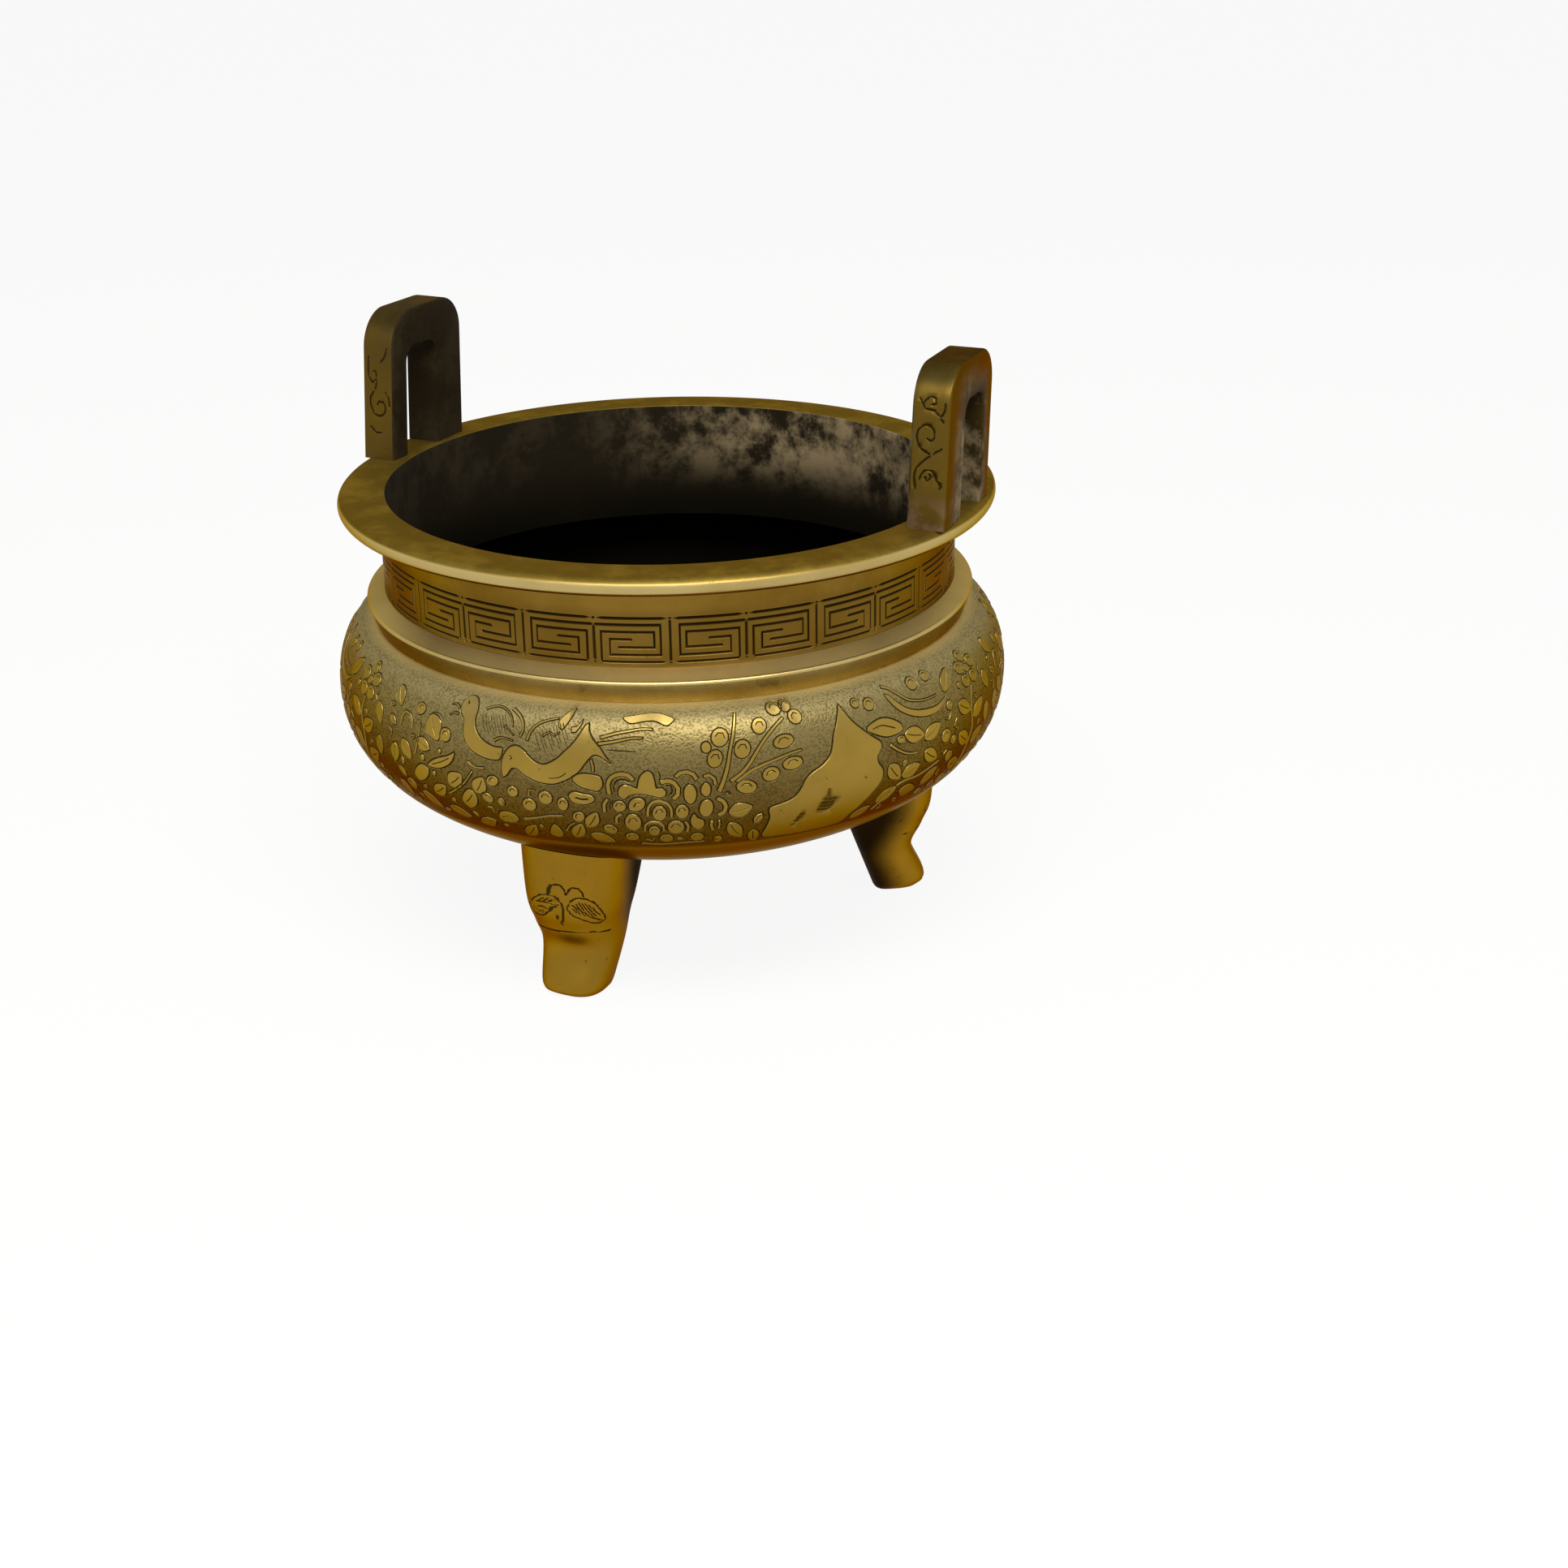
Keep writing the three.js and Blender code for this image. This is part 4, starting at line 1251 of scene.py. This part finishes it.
# The lip's rounded edge and the ring's edge carry the worn-edge mark, which also paints their highlights.
LIP_EDGE, MOUTH = range(13, 18), 26
RING_TOP, RING_EDGE = range(1, 3), range(1, 9)
bowl_bm = fresh()
inside = range(MOUTH, len(rim_and_inside))
turned(bowl_bm, rim_and_inside, SIDES, soot=(inside, 1), rubbed=(LIP_EDGE, 0.9))
# The ring's top gets the neck's share of the ground mark, which makes it paler: dust with a painted sheen.
turned(bowl_bm, ring, SIDES, ground=(RING_TOP, NECK_GROUND), rubbed=(RING_EDGE, 0.8))
turned(bowl_bm, underside, SIDES)
joined(bowl_bm, fret_bm)
joined(bowl_bm, belly_bm)
bowl = finished("burner_bowl", bowl_bm, BODY_BRASS, 24)
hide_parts("bowl")

# %% [markdown]
# ## Loop handles
# Each handle is a flat casting: an arch with a slot through it. It is drawn as a closed line, filled,
# extruded to its thickness, and its edges are softened with a bevel, as filing leaves them. The narrow
# outer wall, from foot to foot, carries an engraved scroll, so it is taken out and laid in again as a
# drawn sheet. Then the handle leans to one side as a whole, because both handles of this burner do.

# %% Handle outline
HALF_WIDTH = HANDLE_WIDTH / 2
WALL_HALF = HANDLE_THICKNESS / 2 - HANDLE_EDGE


def outer_outline():
    """The outside of the arch, from the near foot over the top to the far foot."""
    straight = HANDLE_HEIGHT - HANDLE_CORNER
    ups = evenly(0, straight, 12)
    line = [(-HALF_WIDTH, up) for up in ups[:-1]]
    line += arc(-HALF_WIDTH + HANDLE_CORNER, straight, HANDLE_CORNER, 180, 90, 12)
    top_half = HALF_WIDTH - HANDLE_CORNER
    line += [(y, HANDLE_HEIGHT) for y in evenly(-top_half, top_half, 5)[1:-1]]
    line += arc(HALF_WIDTH - HANDLE_CORNER, straight, HANDLE_CORNER, 90, 0, 12)
    return line + [(HALF_WIDTH, up) for up in ups[-2::-1]]


def slot_outline():
    """The slot, from the far foot over its top to the near foot."""
    left, right = LOOP_OFFSET - LOOP_WIDTH / 2, LOOP_OFFSET + LOOP_WIDTH / 2
    slot_top = LOOP_HEIGHT - LOOP_CORNER
    line = [(right, 0)] + arc(right - LOOP_CORNER, slot_top, LOOP_CORNER, 0, 90, 8)
    return line + arc(left + LOOP_CORNER, slot_top, LOOP_CORNER, 90, 180, 8) + [(left, 0)]


wall = Line(outer_outline())
print("handle's narrow wall", round(wall.lengths[-1], 1), "mm long")

# %% [markdown]
# ## Scrolls on the handles
# The scroll is a vine with spirals. Its strokes are given by how far across the wall they run and how high
# above the rim, for the near post, and the far post gets the same ones turned half round.

# %% Scrolls
RIGHT_SCROLL = [
    [(6.5, 21.7), (3.3, 23.3), (1.85, 26.4), (2.5, 29.2), (4.7, 30.3), (6.8, 29), (7.3, 26.9), (6, 25.7),
     (4.7, 26.7)],
    [(10.2, 24), (8.3, 22.9), (6.5, 21.7), (3.6, 19.3), (1.9, 17), (1.5, 14.2), (2.3, 11.3)],
    [(2, 38.2), (4.1, 34.9), (6.7, 34.5), (8.7, 32.5), (10, 30.7)],
    [(3.4, 36.4), (5, 38.2), (7, 38), (7.2, 36.4), (5.6, 36)],
    [(8.7, 32.5), (9.9, 34.6), (10, 37)],
    [(3.1, 14.2), (3.8, 16), (5.3, 17.5), (7.1, 17), (8.5, 14.6), (9.9, 13), (9.2, 11.8)],
    [(4.6, 15.8), (5.5, 14.4), (6.7, 15.6), (5.8, 16.7)],
]
LEFT_SCROLL = [
    [(2.3, 33), (1.9, 29), (2.3, 25.9), (3.6, 24.4), (5.1, 25.9), (4.5, 28), (3.5, 27.5)],
    [(5.1, 25.9), (4.9, 23.6), (4.3, 21.8)],
    [(4.3, 21.8), (2.6, 19.4), (2.9, 16.6), (4.6, 14.2), (6.9, 14), (8.5, 16), (7.5, 18.4), (5.9, 18.4),
     (5.2, 16.8)],
    [(6.4, 30.6), (8.2, 32.8), (9.4, 36)],
    [(8.2, 22), (9.6, 19.6), (10, 16.6)],
    [(2.4, 10.6), (4.6, 8.6), (7.4, 8.8)],
]


def scroll_sheet(scroll):
    sheet = Drawing(wall.lengths, evenly(-WALL_HALF, WALL_HALF, 6))
    for stroke in scroll:
        near = [(up, min(max(aside, 1.6), 10) - HANDLE_THICKNESS / 2) for aside, up in stroke]
        sheet.line(near, 1.1, 0.4)
        sheet.line([(wall.lengths[-1] - up, -aside) for up, aside in near], 1.1, 0.4)
    return sheet


def on_wall(length, aside, lifted):
    """The place of a point of the scroll on the handle's narrow wall."""
    return at(aside, *wall.raised(length, lifted))


# %% Handles
def bare_handle(bm):
    """The arch with its softened edges, without the narrow outer wall and the feet."""
    bottom = -HANDLE_THICKNESS / 2
    verts = [bm.verts.new(at(bottom, y, up)) for y, up in wall.points + slot_outline()]
    raised = bmesh.ops.extrude_face_region(bm, geom=[bm.faces.new(verts)])
    moved = [v for v in raised["geom"] if isinstance(v, bmesh.types.BMVert)]
    bmesh.ops.translate(bm, verts=moved, vec=at(HANDLE_THICKNESS, 0, 0))
    bmesh.ops.recalc_face_normals(bm, faces=bm.faces)
    feet = [f for f in bm.faces if f.calc_center_median().z < 1e-6]
    bmesh.ops.delete(bm, geom=feet, context="FACES")
    rims = [e for e in bm.edges if len(e.link_faces) == 2 and max(len(f.verts) for f in e.link_faces) > 4]
    bmesh.ops.bevel(
        bm, geom=rims, offset=HANDLE_EDGE * MM, offset_type="OFFSET", affect="EDGES",
        segments=3, profile=0.5, material=-1, clamp_overlap=False,
    )
    narrow = []
    for face in bm.faces:
        middle = face.calc_center_median() / MM
        flat = max(abs(v.co.x) for v in face.verts) < (WALL_HALF + 0.01) * MM
        if flat and (abs(middle.y) > HALF_WIDTH - 0.5 or middle.z > LOOP_HEIGHT + 2):
            narrow.append(face)
    bmesh.ops.delete(bm, geom=narrow, context="FACES")


def smoke_handle(bm, amounts):
    """Marks how sooty the inner face, the slot, the outer face and the narrow wall are."""
    soot = bm.verts.layers.float["soot"]
    inner, slot, outer, narrow = amounts
    for vert in bm.verts:
        x, y, z = vert.co / MM
        in_slot = abs(y - LOOP_OFFSET) < LOOP_WIDTH / 2 + 0.9 and z < LOOP_HEIGHT + 0.9
        face = inner if x < -WALL_HALF - 0.1 else outer if x > WALL_HALF + 0.1 else narrow
        vert[soot] = slot if in_slot else face


def handle(name, node, scroll, turned_by, radius, lean, amounts):
    """Makes one handle, leans it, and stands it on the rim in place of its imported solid."""
    bm = fresh()
    bare_handle(bm)
    print("scroll:", scroll_sheet(scroll).lay(bm, on_wall, sunk=0.0, ground=0.0), "triangles")
    bmesh.ops.remove_doubles(bm, verts=bm.verts, dist=1e-5)
    bmesh.ops.holes_fill(bm, edges=[e for e in bm.edges if e.is_boundary], sides=0)
    smoke_handle(bm, amounts)
    for vert in bm.verts:
        share = vert.co.z / (HANDLE_HEIGHT * MM)
        vert.co.y = vert.co.y * (1 - share * 2 * HANDLE_TAPER / HANDLE_WIDTH) + share * lean * MM
    bmesh.ops.rotate(bm, verts=bm.verts, cent=(0, 0, 0), matrix=Matrix.Rotation(turned_by, 3, "Z"))
    bmesh.ops.translate(bm, verts=bm.verts, vec=at(radius, 0, RIM_HEIGHT))
    made = finished(name, bm, HANDLE_BRASS)
    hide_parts(node)


RIGHT_SMOKE, LEFT_SMOKE = (0.6, 0.75, 0.05, 0.05), (0.9, 0.95, 0.4, 0.4)
handle(
    "burner_handle_right", "handle_right", RIGHT_SCROLL,
    math.radians(RIGHT_HANDLE_TURN), HANDLE_RADIUS - RIGHT_HANDLE_INSET, HANDLE_LEAN, RIGHT_SMOKE,
)
handle(
    "burner_handle_left", "handle_left", LEFT_SCROLL,
    math.pi, -HANDLE_RADIUS, -HANDLE_LEAN, LEFT_SMOKE,
)

# %% [markdown]
# ## Cabriole legs
# A leg swells at the knee, narrows at the ankle and turns out again at the toe, and its back is flat. Its
# whole side is one drawn sheet wrapped round it, across by the angle and up by the height, and the top
# of the sheet stops just under the belly. The knee carries an engraved butterfly with long wings.

# %% The leg's outline
LEG_STATIONS = [
    (BELLY_RADIUS - 26.2, 19, 0),
    (BELLY_RADIUS - 24.2, 21.2, 3),
    (BELLY_RADIUS - 28.8, 25, 14.5),
    (BELLY_RADIUS - 25, 27.4, 23.5),
    (BELLY_RADIUS - 22, 31, 33),
    (BELLY_RADIUS - 22, 35.4, BELLY_HEIGHT - 28),
]
BACK_POWER, FRONT_POWER, SIDE_POWER = 0.45, 0.8, 0.7
leg_curve = sorted(smooth(LEG_STATIONS, spacing=0.5), key=lambda station: station[2])
leg_heights = [station[2] for station in leg_curve]


def leg_station(height):
    """How far out the leg's front lies and how wide the leg is, at a height."""
    i = min(max(bisect.bisect_right(leg_heights, height) - 1, 0), len(leg_curve) - 2)
    low, high = leg_curve[i], leg_curve[i + 1]
    share = (height - low[2]) / (high[2] - low[2])
    return low[0] + (high[0] - low[0]) * share, low[1] + (high[1] - low[1]) * share


def belly_underside(radius):
    """The height of the belly's underside at a distance from the bowl's axis."""
    share = min(radius / BELLY_RADIUS, 1)
    down = (1 - share**BELLY_SQUARENESS) ** (1 / BELLY_SQUARENESS)
    return BELLY_HEIGHT - BELLY_DEPTH * down


def leg_place(angle, height, lifted=0.0):
    """The place round the leg at an angle and height, rounder in front and squarer at the back."""
    front, width = leg_station(height)
    back = BELLY_RADIUS - HEEL_INSET - HEEL_SLOPE * height
    c, s = math.cos(angle), math.sin(angle)
    along = math.copysign(abs(c) ** (BACK_POWER if c < 0 else FRONT_POWER), c)
    sideways = math.copysign(abs(s) ** SIDE_POWER, s)
    middle = back + (front - back) * 0.4
    reach = middle - back if along < 0 else front - middle
    x, y = along * reach, sideways * width / 2
    stretch = 1 + lifted / math.hypot(x, y)
    return middle + x * stretch, y * stretch


def leg_top(angle):
    """The height at which the leg meets the belly, found by a few repeated guesses."""
    height = 40
    for _ in range(12):
        height = belly_underside(math.hypot(*leg_place(angle, height))) - LEG_GAP
    return height


print("leg", leg_heights[-1], "mm high at its front")

# %% The knee's engraving
LEG_SIDES = 96
TURN_SIZE = 10
STEADY = 14
SHEET_TOP = 52
KNEE_LINES = [
    [(-2, 36.4), (-1.5, 38.1), (-0.3, 39.8), (1.8, 40.6), (3.5, 40.1), (4.3, 38.5), (4.4, 37.1)],
    [(4.4, 37.1), (5.3, 38.8), (6.8, 40.1), (8.4, 39.8), (9.3, 38.4), (9.7, 36.8)],
    [(-9.2, 31.9), (-6.9, 34.4), (-4.1, 36.1), (-1.3, 36.4), (1.5, 36), (3, 33.6), (3.3, 31.5), (1.6, 25.6)],
    [(-6.5, 33.2), (-3.8, 33.7), (-1.2, 33.6), (1, 33.3)],
    [(-6.5, 31.3), (-4.1, 31.9), (-2.3, 31.2)],
    [(-9.2, 31.9), (-10.4, 30.2), (-9.8, 28.7), (-7.4, 28.2), (-4.6, 28.4), (-2.6, 30.1), (-0.3, 32.5),
     (2.1, 34)],
    [(0.9, 29.9), (0.3, 27.6)],
    [(5.2, 34.7), (7.2, 36.4), (9.8, 36.3), (12.1, 34.1), (13.1, 30.4), (13.2, 27)],
    [(13.2, 27), (12, 26.3), (10.2, 27.4), (8.2, 29.1), (6.2, 30.2), (4.8, 32.2), (5.2, 34.7)],
    [(5.9, 34.3), (8.5, 32.5), (10.6, 29.8), (12.6, 27.2)],
]
WING_LINES = [
    [(6.2, 33.2), (7.6, 31.2)], [(7.4, 34.8), (9.6, 30)], [(9, 35), (11.4, 29.4)],
    [(10.6, 34.2), (12.4, 30)], [(6.6, 34.3), (8.5, 30.6)], [(8.1, 35.4), (10.5, 29.6)],
    [(9.8, 34.9), (12, 29.2)], [(11.4, 33.2), (12.7, 29.2)], [(-8, 31.4), (-6.6, 29.4)],
    [(-6.2, 30.4), (-5, 29)], [(-4.4, 31), (-3.4, 29.8)], [(-9, 30.9), (-7.8, 29)],
    [(-7.1, 30.9), (-5.8, 29)], [(-5.3, 30.8), (-4.2, 29.2)], [(-5.4, 33.8), (-3, 35.4)],
    [(-3.6, 33.9), (-1.4, 35.6)], [(-1.8, 34), (0.4, 35.4)],
]
# The knee's lower step, drawn as a dark cut line: the dark line is painted shade of the step.
KNEE_STEP_SHADE_LINE = [
    (-12.6, 21.4), (-10.1, 21.9), (-6.3, 22.5), (-1.1, 22.5), (5.9, 23.3), (10.9, 22.9), (12.9, 21.5),
]


def stretched_height(angle, level):
    """The height of a level of the sheet, which has the leg's slanting top at its upper edge."""
    if level < STEADY:
        return level
    return STEADY + (level - STEADY) * (leg_top(angle) - STEADY) / (SHEET_TOP - STEADY)


def knee_point(y, height):
    """A point of the knee seen from the front, as a place on the sheet."""
    _, width = leg_station(height)
    angle = math.copysign(math.asin(min(2 * abs(y) / width, 1) ** (1 / SIDE_POWER)), y)
    level = STEADY + (height - STEADY) * (SHEET_TOP - STEADY) / (leg_top(angle) - STEADY)
    return angle * TURN_SIZE, level


knee = Drawing(evenly(-math.pi * TURN_SIZE, math.pi * TURN_SIZE, LEG_SIDES), evenly(0, SHEET_TOP, 44))
for stroke in KNEE_LINES:
    knee.line([knee_point(*p) for p in smooth(stroke)], 0.8, 0.35)
for stroke in WING_LINES:
    knee.line([knee_point(*p) for p in smooth(stroke)], 0.55, 0.25)
# The dark line along the knee's step is painted shade.
knee.line([knee_point(*p) for p in smooth(KNEE_STEP_SHADE_LINE)], 1.0, 0.4)
print("knee lines:", len(KNEE_LINES) + len(WING_LINES) + 1)


def on_leg(round_it, level, lifted):
    """The place of a point of the sheet, across by the way round and up by the level."""
    angle = round_it / TURN_SIZE
    height = stretched_height(angle, level)
    return at(*leg_place(angle, height, lifted), height)


LEG_MERGE = 1e-6
leg_bm = fresh()
print("leg sheet:", knee.lay(leg_bm, on_leg, sunk=0.0, ground=0.0), "triangles")
bmesh.ops.remove_doubles(leg_bm, verts=leg_bm.verts, dist=LEG_MERGE)
bmesh.ops.holes_fill(leg_bm, edges=[e for e in leg_bm.edges if e.is_boundary], sides=0)

# %% [markdown]
# ## Three legs
# The legs are copies of one mesh, turned by a third of a circle. They differ in how far the painted shade
# under the belly reaches forward round them, so the shade is marked on each copy, with the mark that holds
# the soot inside the bowl.

# %% The legs
SHADE_REACH = 16
NEAR_SIDE_REACH = 12
LEG_SHADE_SPARED = (0.42, 0.2, 0.4)


def leg_painted_shade(place, spared):
    """How much painted shade a place of the leg gets, as under the belly: more behind, less on its near side.
    """
    front, _ = leg_station(place.z / MM)
    behind = (front - place.x / MM) / SHADE_REACH
    near = max(place.y / MM, 0) / NEAR_SIDE_REACH
    return min(max(behind - spared - 0.2 * near, 0), 0.95)


for number, spared in enumerate(LEG_SHADE_SPARED):
    turned_leg = leg_bm.copy()
    leg_soot = turned_leg.verts.layers.float["soot"]
    # Painted shade on the leg's back, written into the soot mark.
    for vert in turned_leg.verts:
        vert[leg_soot] = leg_painted_shade(vert.co, spared)
    round_to_it = Matrix.Rotation(math.radians(LEG_FIRST_ANGLE + 120 * number), 3, "Z")
    bmesh.ops.rotate(turned_leg, verts=turned_leg.verts, cent=(0, 0, 0), matrix=round_to_it)
    made = finished(f"burner_leg_{number + 1}", turned_leg, LEG_BRASS, merge=LEG_MERGE)
    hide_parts(f"leg_{number + 1}")
leg_bm.free()

# %% [markdown]
# ## Rivets
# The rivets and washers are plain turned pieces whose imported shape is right, so they stay and only get
# the finish of dull, hammered brass, sooty where they lie inside the bowl.

# %% Rivet finish
DENT_SCALE = 600
SOOTY_RIVET = (0.02, 0.015, 0.009)
rivet = Brass(
    "rivet_patina",
    (0.15, 0.09, 0.02), (0.09, 0.065, 0.02), (0.07, 0.035, 0.006), (0.08, 0.055, 0.015),
)
dents = rivet.noise(DENT_SCALE, 2.0, 0.5)
rivet.rough += 0.2 * dents
rivet.relief += dents
buried = 1.0 - rivet.height.step(0.06, 0.09)
rivet.cover(buried * 0.9, SOOTY_RIVET)
rivet.rough += 0.3 * buried
rivet_material = rivet.done()
for node_name, node_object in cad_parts.items():
    if "rivet" in node_name or "washer" in node_name:
        node_object.data.materials.clear()
        node_object.data.materials.append(rivet_material)
print("rivets finished with", rivet_material.name)
